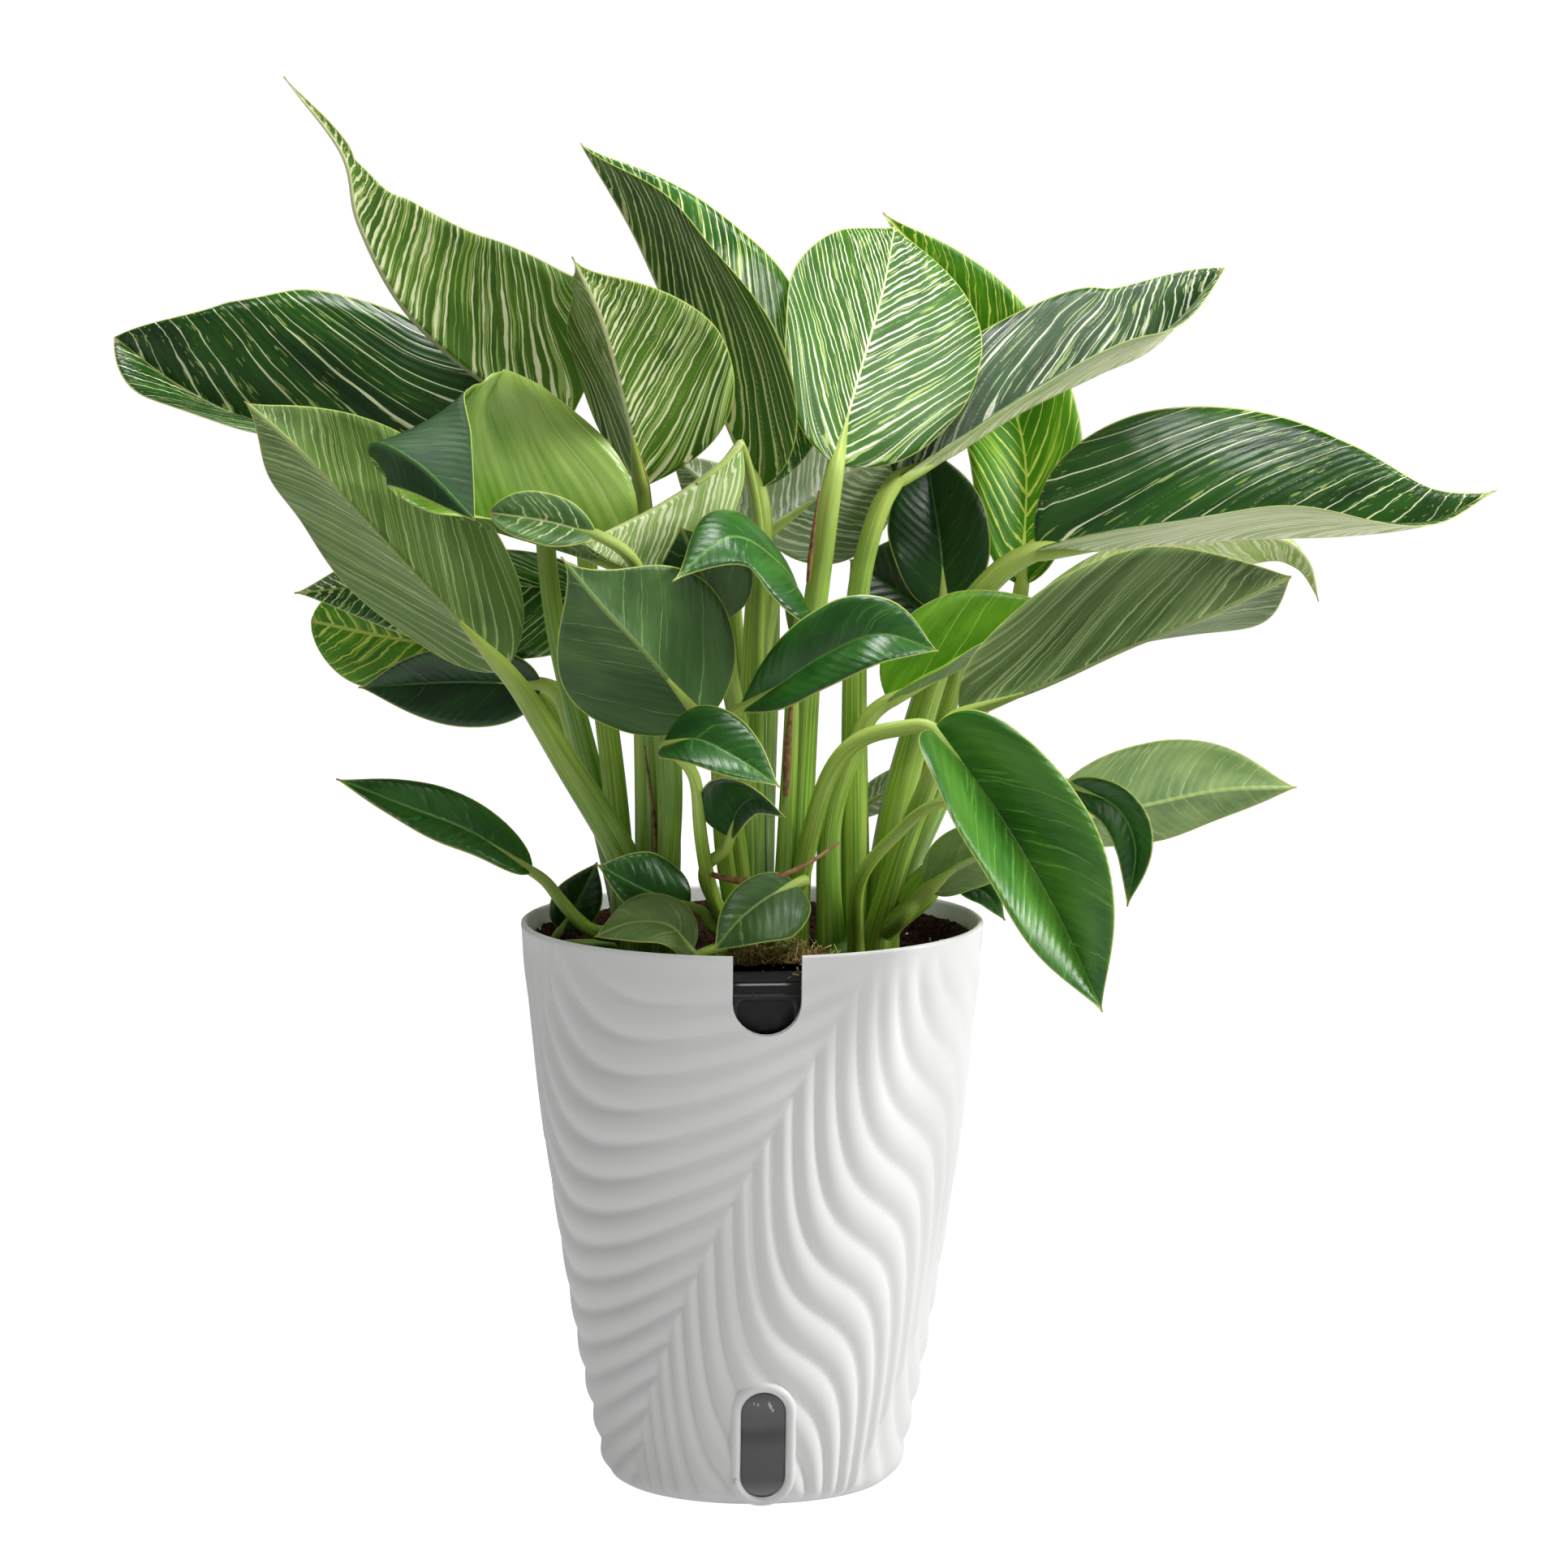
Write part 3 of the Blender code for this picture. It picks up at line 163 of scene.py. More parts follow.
# Every leaf: its name, its look, its crown and half the blade's width; then its midrib from base to
# tip and its stalk's way from crown to blade, both as points across, up and back in the view. right
# and left are how far each half is folded up, in degrees, at the base, middle and tip.
LEAVES = [
    new_leaf("far_left", "dark", "left", 53, ((-84, 371, 12), (-134, 369, 26), (-178, 378, 42),
        (-206, 391, 54), (-230, 409, 64)), ((-55, 240, 10), (-72, 310, 10)), right=(-20, -15, 0),
        left=(92, 97, 70), left_share=0.8, peak=0.5, point=0.9),
    new_leaf("top_left", "cream", "left", 48, ((-66, 379, 4), (-96, 393, -4), (-125, 419, -14),
        (-142, 450, -26), (-148, 475, -34), (-169, 503, -46)), ((-50, 250, 2), (-60, 330, 4)),
        facing=AWAY, right=(112, 118, 95), left=(10, 12, 20), peak=0.14, point=1.08, tail=(0.8, 4)),
    new_leaf("left_hanging", "olive", "left", 44, ((-89, 289, -28), (-115, 317, -42), (-140, 344, -58),
        (-165, 370, -74), (-183, 386, -84)), ((-46, 221, -14), (-66, 254, -20)), facing=AWAY,
        right=(52, 56, 45), left=(42, 48, 40), peak=0.38, stalk_radii=(7, 3.6)),
    new_leaf("folded_tip", "bright", "left", 55, ((-45, 326, -34), (-69, 333, -38), (-96, 341, -42),
        (-122, 352, -50), (-137, 365, -62), (-135, 371, -80), (-119, 362, -92), (-100, 343, -96)),
        ((-30, 240, -16), (-37, 315, -28)), start=0.2, right=(5, 8, 10), left=(110, 90, 30),
        left_share=0.4, peak=0.42, point=1),
    new_leaf("small_striped", "grey_stripe", "left", 11, ((-56, 338, -84), (-75, 343, -91),
        (-95, 346, -97)), ((-28, 250, -36), (-34, 300, -58), (-42, 331, -76)), right=20,
        left=(40, 50, 50), peak=0.6, point=0.6, base=1, stalk_radii=(4, 2.2)),
    new_leaf("rolled", "pale_stripe", "middle", 23, ((-4, 371, -24), (-14, 361, -32), (-34, 348, -46),
        (-61, 335, -73)), ((2, 300, -8), (3, 338, -14), (5, 354, -22), (7, 369, -32)), facing=AWAY,
        right=(8, 10, 10), left=(105, 125, 110), peak=0.5, point=1, base=1, stalk_radii=(3, 1.6)),
    new_leaf("upper_left", "cream", "left", 43, ((-40, 355, -24), (-45, 381, -46), (-54, 414, -80),
        (-65, 438, -108)), ((-36, 235, -6), (-39, 315, -18)), facing=AWAY, right=(65, 70, 60),
        left=(22, 25, 20), peak=0.26, point=1.7, stalk_radii=(7.5, 3.6)),
    new_leaf("top_centre", "lined", "middle", 43, ((2, 354, -4), (-14, 390, 6), (-31, 422, 19),
        (-44, 449, 31), (-62, 479, 45)), ((0, 270, -3), (2, 320, -5)), right=(-10, -15, -5),
        left=(145, 130, 120), peak=0.4, stalk_radii=(6.5, 3.6)),
    new_leaf("round_centre", "white", "middle", 42, ((30, 363, -4), (35, 384, 12), (41, 405, 34),
        (47, 427, 60), (51, 449, 88)), ((20, 290, -5), (25, 330, -6)), right=(15, 16, 20),
        left=(35, 38, 40), peak=0.42, point=1.2, stalk_radii=(6, 3.6)),
    new_leaf("upper_right", "white", "right", 34, ((52, 358, 7), (71, 367, 19), (97, 383, 31),
        (124, 396, 42), (146, 407, 52), (170, 434, 66)), ((37, 310, 2), (44, 342, 2)),
        right=(100, 104, 95), left=(-20, -22, -10), peak=0.5, point=0.9, stalk_radii=(6, 3.6)),
    new_leaf("back_right", "lime", "right", 24, ((97, 320, 50), (98, 367, 70), (86, 403, 88),
        (67, 432, 104), (47, 454, 118)), ((66, 240, 24), (88, 290, 40)), right=(20, 25, 20),
        left=(30, 30, 20), peak=0.4),
    new_leaf("far_right", "dark", "right", 49, ((102, 332, 10), (138, 334, 14), (176, 337, 20),
        (214, 338, 27), (244, 342, 34), (268, 354, 40)), ((52, 240, 4), (70, 300, 6), (88, 324, 8)),
        right=(100, 107, 90), left=(-15, -15, -5), peak=0.34, point=1.4, stalk_radii=(6.5, 4)),
    new_leaf("right_drooping_tip", "pale", "right", 18, ((100, 310, 28), (130, 325, 36), (162, 335, 46),
        (188, 337, 54), (200, 329, 58), (204, 314, 60)), ((62, 235, 14), (84, 285, 22)), facing=AWAY,
        right=70, left=(35, 40, 30), peak=0.45),
    new_leaf("right_middle", "olive", "right", 34, ((75, 273, -36), (106, 284, -50), (135, 297, -68),
        (165, 309, -86), (194, 323, -104)), ((54, 225, -16), (66, 255, -28)), facing=AWAY,
        right=(25, 26, 20), left=(88, 76, 30), peak=0.48, point=1.1),
    new_leaf("bright_right", "bright", "right", 26, ((49, 278, -6), (68, 287, -4), (89, 297, -2),
        (116, 312, 4)), ((28, 235, -4), (38, 264, -6)), right=(100, 105, 95), left=(-10, -8, 0),
        peak=0.42),
    new_leaf("dark_back", "deep", "right", 20, ((69, 311, 30), (68, 332, 36), (65, 352, 42),
        (62, 371, 50)), ((50, 240, 16), (64, 290, 24)), right=25, left=25, peak=0.45),
    new_leaf("dark_low_back", "deep", "right", 23, ((68, 304, 46), (54, 316, 56), (35, 329, 68)),
        ((56, 235, 24), (74, 288, 38)), right=20, left=20, peak=0.45),
    new_leaf("grey_back", "silver", "middle", 27, ((4, 338, 22), (24, 352, 32), (45, 367, 44),
        (59, 379, 54)), ((-2, 250, 10), (-8, 322, 14)), facing=AWAY, right=(30, 30, 30),
        left=(10, 15, 15), peak=0.42, base=0.8),
    new_leaf("arching", "plain", "middle", 24, ((15, 298, -24), (17, 315, -34), (9, 328, -48),
        (-8, 337, -64), (-29, 321, -80)), ((14, 270, -20),), facing=UPWARD, start=0.6, right=(20, 10, 10),
        left=(-10, -25, -15), peak=0.34, point=1.6, stalk_radii=(4, 2.2)),
    new_leaf("pointing_right", "plain", "middle", 16, ((-6, 274, -55), (10, 284, -68), (27, 295, -78),
        (46, 302, -84), (67, 296, -80)), ((-5, 225, -26), (-10, 262, -46)), facing=STEEP, right=18,
        left=18, peak=0.6, base=1.2, stalk_radii=(4, 2.4)),
    new_leaf("round_left", "olive", "middle", 34, ((-17, 270, -56), (-40, 297, -78), (-55, 313, -92),
        (-69, 330, -104)), ((-10, 225, -28), (-12, 258, -46)), facing=AWAY, right=22, left=25, peak=0.36,
        point=1.9, stalk_radii=(4.5, 2.8)),
    new_leaf("behind_round", "olive", "middle", 17, ((-11, 307, -42), (-18, 323, -52), (-26, 341, -61)),
        ((-2, 250, -20), (-9, 290, -30)), facing=AWAY, right=5, left=5, peak=0.42,
        stalk_radii=(4.5, 3.2)),
    new_leaf("low_centre", "plain", "middle", 14, ((-32, 262, -74), (-20, 264, -82), (-5, 257, -90),
        (10, 247, -95)), ((-15, 215, -30), (-28, 238, -58)), facing=RISING, right=15, left=15, peak=0.34,
        stalk_radii=(3, 2)),
    new_leaf("fan", "deep", "middle", 15, ((-8, 229, -54), (-5, 239, -63), (2, 243, -72), (12, 236, -80)),
        ((-18, 216, -37),), right=55, left=10, right_share=0.5, peak=0.45, base=0.8, stalk_radii=(3, 2)),
    new_leaf("drooping_right", "plain", "middle", 30, ((65, 268, -40), (80, 250, -52), (97, 224, -62),
        (112, 197, -70), (126, 166, -76)), ((23, 238, -24), (30, 257, -30), (42, 267, -34),
        (59, 268, -38)), right=(64, 62, 45), left=(28, 24, 20), peak=0.48, stalk_radii=(4, 2.6)),
    new_leaf("low_right", "olive", "right", 22, ((109, 235, 10), (138, 240, 24), (168, 246, 40),
        (196, 247, 54)), ((60, 214, 2), (86, 232, 4)), facing=AWAY, right=(15, 15, 10), left=(40, 42, 30),
        peak=0.45, stalk_radii=(4, 2.4)),
    new_leaf("curled_right", "plain", "right", 9, ((114, 248, 2), (131, 240, -2), (138, 225, -6),
        (135, 204, -10)), ((72, 225, -4), (98, 246, 0)), right=30, left=30, peak=0.45,
        stalk_radii=(3, 2)),
    new_leaf("rim_right", "olive", "right", 13, ((63, 210, -14), (75, 219, -18), (89, 224, -22),
        (103, 225, -26)), ((54, 201, -14),), facing=AWAY, right=20, left=30, peak=0.42,
        stalk_radii=(5, 3)),
    new_leaf("rim_right_tip", "plain", "right", 5, ((74, 212, 4), (84, 209, 2), (91, 199, 0)),
        ((64, 207, 2),), right=25, left=25, stalk_radii=(3, 2)),
    new_leaf("small_right", "plain", "right", 6, ((70, 242, -34), (77, 243, -36), (82, 234, -38)),
        ((39, 215, -26), (55, 233, -30)), facing=UPWARD, right=20, left=20, stalk_radii=(3, 2)),
    new_leaf("low_left", "plain", "left", 12, ((-80, 217, -14), (-102, 231, -20), (-125, 240, -28),
        (-150, 250, -38)), ((-58, 195, -12), (-69, 206, -12)), facing=RISING, right=15, left=15,
        peak=0.45, stalk_radii=(3, 2)),
    new_leaf("striped_left", "lined", "left", 28, ((-37, 307, 34), (-66, 318, 42), (-96, 320, 48),
        (-125, 321, 54), (-165, 317, 62)), ((-32, 240, 16), (-29, 293, 28)), right=(55, 55, 30),
        left=(25, 25, 20), peak=0.4, base=0.7),
    new_leaf("dark_left", "deep", "left", 17, ((-76, 284, 34), (-107, 285, 44), (-142, 283, 56)),
        ((-50, 230, 18), (-64, 265, 26)), right=30, left=(25, 20, 20), peak=0.35),
    new_leaf("curled_left", "lime", "left", 20, ((-96, 297, 56), (-125, 300, 66), (-159, 307, 78)),
        ((-52, 235, 26), (-76, 280, 42)), right=(0, 0, 0), left=(0, 0, 0), peak=0.6, point=0.6, base=0.8),
    new_leaf("soil_left", "deep", "left", 9, ((-69, 196, -2), (-62, 208, -4), (-56, 220, -8)),
        ((-66, 190.5, -1),), right=10, left=10, stalk_radii=(2, 1.6)),
    new_leaf("rim_left", "plain", "middle", 14, ((-23, 204, -30), (-39, 210, -36), (-56, 219, -43)),
        ((-16, 198, -28),), facing=STEEP, right=15, left=15, peak=0.45, stalk_radii=(3, 2)),
    new_leaf("rim_left_low", "plain", "middle", 11, ((-22, 188, -56), (-30, 197, -60), (-43, 198, -58),
        (-57, 193, -52)), ((-21, 186, -53),), facing=RISING, right=15, left=15, peak=0.45,
        stalk_radii=(2, 1.6)),
    new_leaf("rim_front", "deep", "middle", 19, ((15, 212, -50), (5, 207, -58), (-5, 199, -66),
        (-14, 188, -72)), ((14, 207, -41),), facing=STEEP, right=20, left=10, right_share=0.5, peak=0.42,
        stalk_radii=(3, 2)),
    new_leaf("narrow_back_right", "silver", "right", 7, ((36, 238, 30), (56, 249, 40), (80, 256, 52)),
        ((30, 225, 26),), facing=AWAY, right=20, left=20, stalk_radii=(3, 2)),
    new_leaf("top_back", "lined", "middle", 12, ((-8, 393, 74), (-27, 411, 90), (-43, 422, 102)),
        ((4, 250, 34), (6, 300, 50), (5, 360, 62)), right=20, left=20, base=0.8),
    new_leaf("grey_centre", "silver", "middle", 14, ((4, 330, 36), (-12, 351, 42), (-30, 368, 52)),
        ((-4, 250, 22), (4, 300, 30)), facing=AWAY, right=20, left=20, base=0.8),
]


# Faces of leaves. Screen colours, 0 to 255: face and light for the green, stripe for the lines, dash
# for the fine dashes and rib for the midrib. The light green lies in broad random patches that are
# partly the leaf's own tone and partly painted sheen. spacing is the lines' distance and thick their
# width, in mm; share is how many of them show. cover is the share under dashes, pitch their distance
# in mm and breaks how short they are. gloss is how waxy the face is, from 0 to 1.
FACE_FACTS = ("face", "light", "stripe", "dash", "rib",
              "spacing", "thick", "share", "cover", "pitch", "breaks", "gloss")
FACES = {name: dict(zip(FACE_FACTS, facts)) for name, *facts in (
    ("dark", (22, 56, 16), (48, 96, 28), (240, 246, 200), (166, 188, 92), (206, 216, 140),
     6.6, 0.65, 0.85, 0.1, 1.1, 7.0, 1.0),
    ("white_lined", (22, 56, 12), (44, 90, 22), (238, 242, 214), (168, 192, 122), (214, 224, 160),
     3.7, 0.8, 0.95, 0.2, 1.1, 2.6, 0.6),
    ("pale_under", (150, 174, 100), (202, 214, 156), (238, 240, 208), (216, 224, 174), (222, 228, 170),
     2.6, 1.0, 0.9, 0.35, 1.1, 0.6, 0.2),
    ("cream", (46, 84, 12), (84, 126, 24), (228, 232, 182), (160, 186, 96), (216, 222, 162),
     3.6, 0.95, 0.9, 0.36, 0.9, 1.4, 0.25),
    ("olive", (74, 104, 40), (108, 140, 66), (178, 196, 130), (142, 166, 92), (168, 188, 112),
     4.4, 0.5, 0.8, 0.3, 1.4, 0.6, 0.2),
    ("sage", (72, 98, 48), (122, 146, 88), (182, 196, 140), (146, 166, 108), (172, 188, 116),
     4.8, 0.4, 0.5, 0.34, 1.2, 0.6, 0.45),
    ("moss_green", (52, 86, 38), (76, 112, 52), (118, 150, 84), (92, 128, 64), (124, 154, 78),
     9.5, 0.5, 0.6, 0.06, 1.8, 1.0, 0.45),
    ("bright", (82, 142, 12), (124, 182, 38), (176, 212, 84), (144, 196, 52), (178, 208, 84),
     6.5, 0.4, 0.5, 0.06, 2.4, 0.6, 0.8),
    # folded_bright's light is so pale that its patches paint the bright face's highlight
    ("folded_bright", (98, 150, 32), (188, 220, 112), (206, 226, 140), (186, 214, 112), (190, 212, 110),
     11.0, 0.6, 0.35, 0.12, 3.4, 0.4, 0.95),
    ("lined", (40, 84, 6), (72, 122, 14), (240, 244, 168), (150, 180, 70), (214, 222, 140),
     4.0, 1.05, 1.0, 0.1, 1.1, 1.0, 0.3),
    ("lined_gloss", (24, 70, 14), (54, 112, 28), (230, 238, 174), (160, 188, 88), (196, 210, 124),
     3.8, 0.75, 0.95, 0.2, 1.1, 2.0, 1.0),
    ("white", (36, 80, 8), (68, 120, 18), (238, 242, 212), (176, 200, 112), (222, 230, 178),
     3.4, 0.75, 0.95, 0.18, 1.1, 3.0, 0.2),
    ("lime", (52, 112, 4), (86, 150, 12), (210, 224, 100), (146, 184, 48), (190, 208, 90),
     4.2, 0.65, 0.95, 0.18, 1.1, 1.2, 0.4),
    ("pale", (146, 180, 78), (192, 212, 128), (230, 236, 190), (210, 222, 160), (220, 228, 164),
     3.2, 0.9, 0.8, 0.3, 1.4, 0.5, 0.3),
    ("deep", (20, 54, 20), (38, 80, 30), (66, 108, 52), (52, 94, 42), (72, 114, 54),
     8.0, 0.35, 0.4, 0.04, 2.0, 1.0, 0.75),
    ("silver", (100, 128, 78), (146, 166, 118), (212, 218, 188), (180, 194, 150), (196, 206, 160),
     2.6, 0.7, 0.9, 0.3, 1.2, 0.6, 0.4),
    ("plain", (28, 76, 24), (54, 110, 38), (84, 140, 58), (70, 128, 50), (96, 146, 64),
     8.5, 0.35, 0.35, 0.05, 2.2, 0.8, 0.85),
    ("fresh", (44, 100, 28), (86, 142, 48), (116, 170, 74), (100, 158, 60), (136, 180, 84),
     8.5, 0.35, 0.35, 0.05, 2.4, 0.6, 0.8),
    ("plain_under", (94, 126, 62), (130, 156, 90), (150, 176, 110), (140, 166, 100), (164, 188, 110),
     6.5, 0.4, 0.4, 0.08, 2.0, 0.5, 0.3),
    ("grey_stripe", (62, 102, 44), (96, 136, 70), (218, 226, 168), (150, 178, 106), (206, 216, 150),
     5.0, 0.5, 0.85, 0.1, 1.6, 1.0, 0.5),
    ("pale_stripe", (112, 150, 66), (152, 184, 100), (226, 234, 186), (194, 212, 142), (200, 214, 140),
     2.8, 1.1, 0.95, 0.3, 1.3, 0.6, 0.35),
)}
# The upper face and the underside that each look has, as the record's finishes say
SIDES = {
    "dark": ("dark", "pale_under"), "cream": ("white_lined", "cream"), "olive": ("plain", "olive"),
    "bright": ("bright", "plain_under"), "lined": ("lined_gloss", "lined"),
    "white": ("white", "pale_under"), "lime": ("lime", "plain_under"), "pale": ("lined", "pale"),
    "deep": ("deep", "plain_under"), "silver": ("deep", "silver"), "plain": ("plain", "plain_under"),
    "grey_stripe": ("grey_stripe", "olive"), "pale_stripe": ("lined", "pale_stripe"),
}
# Leaves whose faces differ from the others of their look
OWN_SIDES = {
    "leaf_upper_right": ("white_lined", "pale_under"), "leaf_round_left": ("plain", "moss_green"),
    "leaf_folded_tip": ("folded_bright", "dark_pointed"), "leaf_rim_front": ("moss_green", "moss_green"),
    "leaf_behind_round": ("plain", "moss_green"), "leaf_low_right": ("plain", "plain_under"),
    "leaf_rim_right": ("plain", "plain_under"), "leaf_right_middle": ("plain", "sage"),
    "leaf_drooping_right": ("fresh", "plain_under"), "leaf_rim_left_low": ("plain_under", "plain_under"),
}
# How strongly some leaves' veins lean towards the point
VEIN_LEANS = {
    "leaf_top_centre": 2.0, "leaf_right_middle": 2.2, "leaf_far_right": 2.1, "leaf_far_left": 2.1,
    "leaf_back_right": 1.5, "leaf_bright_right": 1.5, "leaf_upper_right": 2.0,
}
# How far from its point the folded leaf's underside is dark, and how far apart side veins are, in mm
DARK_TIP = 62.0
SIDE_VEIN_PITCH = 3.4
MARGIN_COLOUR = (192, 206, 104)
BROWN_POINT_COLOUR = (168, 140, 66)
# Stalks that the scene leads closer behind their blades than the solids do
STALK_ROUTES = {
    "leaf_rolled": dict(stalk=((2, 300, -8), (3, 340, -12)), approach=1),
    "leaf_low_centre": dict(stalk=((-14, 206, -34), (-19, 232, -56), (-21, 254, -67)), approach=2),
}


def tint(screen):
    """A screen colour, 0 to 255, as the light values that a shader takes."""
    shares = [value / 255 for value in screen]
    return tuple(s / 12.92 if s < 0.0404 else ((s + 0.055) / 1.055) ** 2.4 for s in shares) + (1,)


def as_tint(colour):
    """A screen colour made a tint, and a node's colour as it is."""
    return tint(colour) if isinstance(colour, tuple) else colour


class Nodes:
    """Short ways to add nodes to one tree and join them up."""

    def __init__(self, tree, shader=None):
        self.tree = tree
        self.shader = shader

    def add(self, kind, inputs=None, output=0, **settings):
        node = self.tree.nodes.new(kind)
        for name, value in settings.items():
            setattr(node, name, value)
        for place, value in (inputs or {}).items():
            self.join(value, node.inputs[place])
        return node.outputs[output]

    def join(self, value, socket):
        if isinstance(value, bpy.types.NodeSocket):
            self.tree.links.new(value, socket)
        else:
            socket.default_value = value

    def maths(self, operation, *values):
        return self.add("ShaderNodeMath", dict(enumerate(values)), operation=operation)

    def plus(self, first, second):
        return self.maths("ADD", first, second)

    def minus(self, first, second):
        return self.maths("SUBTRACT", first, second)

    def times(self, first, second):
        return self.maths("MULTIPLY", first, second)

    def over(self, first, second):
        return self.maths("DIVIDE", first, second)

    def vector(self, x, y, z):
        return self.add("ShaderNodeCombineXYZ", {0: x, 1: y, 2: z})

    def scaled(self, vector, amount):
        return self.add("ShaderNodeVectorMath", {0: vector, "Scale": amount}, operation="SCALE")

    def between(self, value, low, high, to_low=0.0, to_high=1.0, smooth=False):
        """The value's place between low and high, taken to another range and held in it."""
        inputs = {"Value": value, "From Min": low, "From Max": high, "To Min": to_low, "To Max": to_high}
        return self.add("ShaderNodeMapRange", inputs,
                        interpolation_type="SMOOTHSTEP" if smooth else "LINEAR")

    def mix(self, share, first, second):
        """From the first colour to the second, each a screen colour or a node's."""
        colours = {0: share, 6: as_tint(first), 7: as_tint(second)}
        return self.add("ShaderNodeMix", colours, output=2, data_type="RGBA")

    def ramp(self, value, stops):
        """A colour for each value, from pairs of a place and a screen colour."""
        shade = self.add("ShaderNodeValToRGB", {0: value})
        elements = shade.node.color_ramp.elements
        for k, (at, colour) in enumerate(stops):
            stop = elements[k] if k < 2 else elements.new(at)
            stop.position = at
            stop.color = tint(colour)
        return shade

    def noise(self, vector, scale, detail=2.0):
        return self.add("ShaderNodeTexNoise", {"Vector": vector, "Scale": scale, "Detail": detail})

    def grain(self, scale, detail=2.0):
        """Noise that is fixed to the piece, with about so many grains to a metre."""
        return self.noise(self.scaled(self.place(), scale), 1.0, detail)

    def chance(self, value):
        """A random share, 0 to 1, that is the same wherever the value is."""
        return self.add("ShaderNodeTexWhiteNoise", {"W": value}, noise_dimensions="1D")

    def named(self, name):
        return self.add("ShaderNodeAttribute", attribute_name=name, output="Fac")

    def place(self):
        return self.add("ShaderNodeTexCoord", output="Object")

    def put(self, socket, value):
        """Give the material's shader a value or a node's output."""
        self.join(value, self.shader.inputs[socket])

    def bump(self, height, strength, distance):
        """Let a height show as relief, so many millimetres deep."""
        inputs = {"Height": height, "Strength": strength, "Distance": distance * MM}
        self.put("Normal", self.add("ShaderNodeBump", inputs))


def material(name, values):
    """A new material and its nodes, with even values on the shader's own sockets."""
    made = bpy.data.materials.new(name)
    made.use_nodes = True
    n = Nodes(made.node_tree, made.node_tree.nodes["Principled BSDF"])
    for socket, value in values.items():
        n.put(socket, value)
    return made, n


# Surfaces

def striped_face(n, look):
    """The colour of one face of a leaf, from its green, its lines, its dashes and its midrib."""
    vein, across, seed = n.named("vein"), n.named("across"), n.named("seed")
    slow = n.vector(n.times(vein, 0.03), n.times(across, 1.2), seed)
    line = n.plus(vein, n.times(n.noise(slow, 3.0), 3.0))
    broad = n.noise(n.vector(n.times(vein, 0.05), across, seed), 1.4, 3.0)
    fine = n.noise(n.vector(n.over(line, 0.9), n.times(across, 0.6), seed), 1.0)
    green = n.mix(n.between(broad, 0.35, 0.66), look["face"], look["light"])
    green = n.mix(n.between(fine, 0.35, 0.75, 0.0, 0.4), green, look["light"])

    way_out = n.times(across, look["breaks"])
    streaks = n.noise(n.vector(n.over(line, look["pitch"]), way_out, seed), 1.1, 1.0)
    edge = 0.74 - 0.4 * look["cover"] ** 0.7
    dashes = n.times(n.between(streaks, edge, edge + 0.035, smooth=True), 0.85)
    colour = n.mix(dashes, green, look["dash"])

    turn = n.over(line, look["spacing"])
    row = n.maths("FLOOR", turn)
    chance = n.chance(n.plus(n.times(row, 1.37), seed))
    spot = n.plus(n.maths("FRACT", turn), n.times(n.minus(chance, 0.5), 0.45))
    off = n.times(n.maths("ABSOLUTE", n.minus(spot, 0.5)), look["spacing"])
    waver = n.noise(n.vector(row, n.times(across, 3.0), seed), 1.7)
    half = n.times(n.between(waver, 0.3, 0.7, 0.15, 0.85), look["thick"])
    half = n.times(half, n.plus(0.55, n.times(chance, 0.75)))
    half = n.times(half, n.between(across, 0.0, 1.0, 1.2, 0.5))
    inside = n.between(n.minus(off, half), -0.12, 0.12, 1.0, 0.0, smooth=True)
    shown = n.maths("LESS_THAN", n.maths("FRACT", n.times(chance, 7.3)), look["share"])
    colour = n.mix(n.times(inside, shown), colour, look["stripe"])
    return n.mix(n.between(n.named("rib"), 0.35, 0.9, 1.0, 0.0, smooth=True), colour, look["rib"])


def leaf_face(name, look, point_look=None):
    """One face of a leaf: its stripes, its wax, a pale margin and a point that is going brown."""
    gloss = look["gloss"]
    made, n = material("leaf_face_" + name, {"Specular IOR Level": 0.22 + 0.34 * gloss})
    tip = n.named("tip")
    colour = striped_face(n, look)
    if point_look:
        colour = n.mix(n.maths("LESS_THAN", tip, DARK_TIP), colour, striped_face(n, point_look))
    margin = n.between(n.named("margin"), 0.2, 0.65, 0.8, 0.0, smooth=True)
    colour = n.mix(margin, colour, MARGIN_COLOUR)
    on_rib = n.between(n.named("rib"), 0.7, 1.5, 1.0, 0.0)
    brown = n.times(n.between(tip, 0.4, 2.6, 0.7, 0.0, smooth=True), on_rib)
    n.put("Base Color", n.mix(brown, colour, BROWN_POINT_COLOUR))

    dull = 0.56 - 0.36 * gloss
    n.put("Roughness", n.between(n.grain(50.0, 3.0), 0.32, 0.68, dull - 0.05, dull + 0.1))
    vein = n.named("vein")
    ribs = n.maths("SINE", n.times(vein, 2 * math.pi / SIDE_VEIN_PITCH))
    fine = n.noise(n.vector(n.over(vein, 0.8), n.named("across"), 0.0), 2.0)
    height = n.plus(n.times(ribs, 0.5), fine)
    height = n.plus(height, n.times(n.grain(1600.0, 1.0), 0.25))
    height = n.plus(height, n.times(n.grain(42.0, 1.0), 6.0))
    n.bump(height, 0.4, 0.3)
    return made


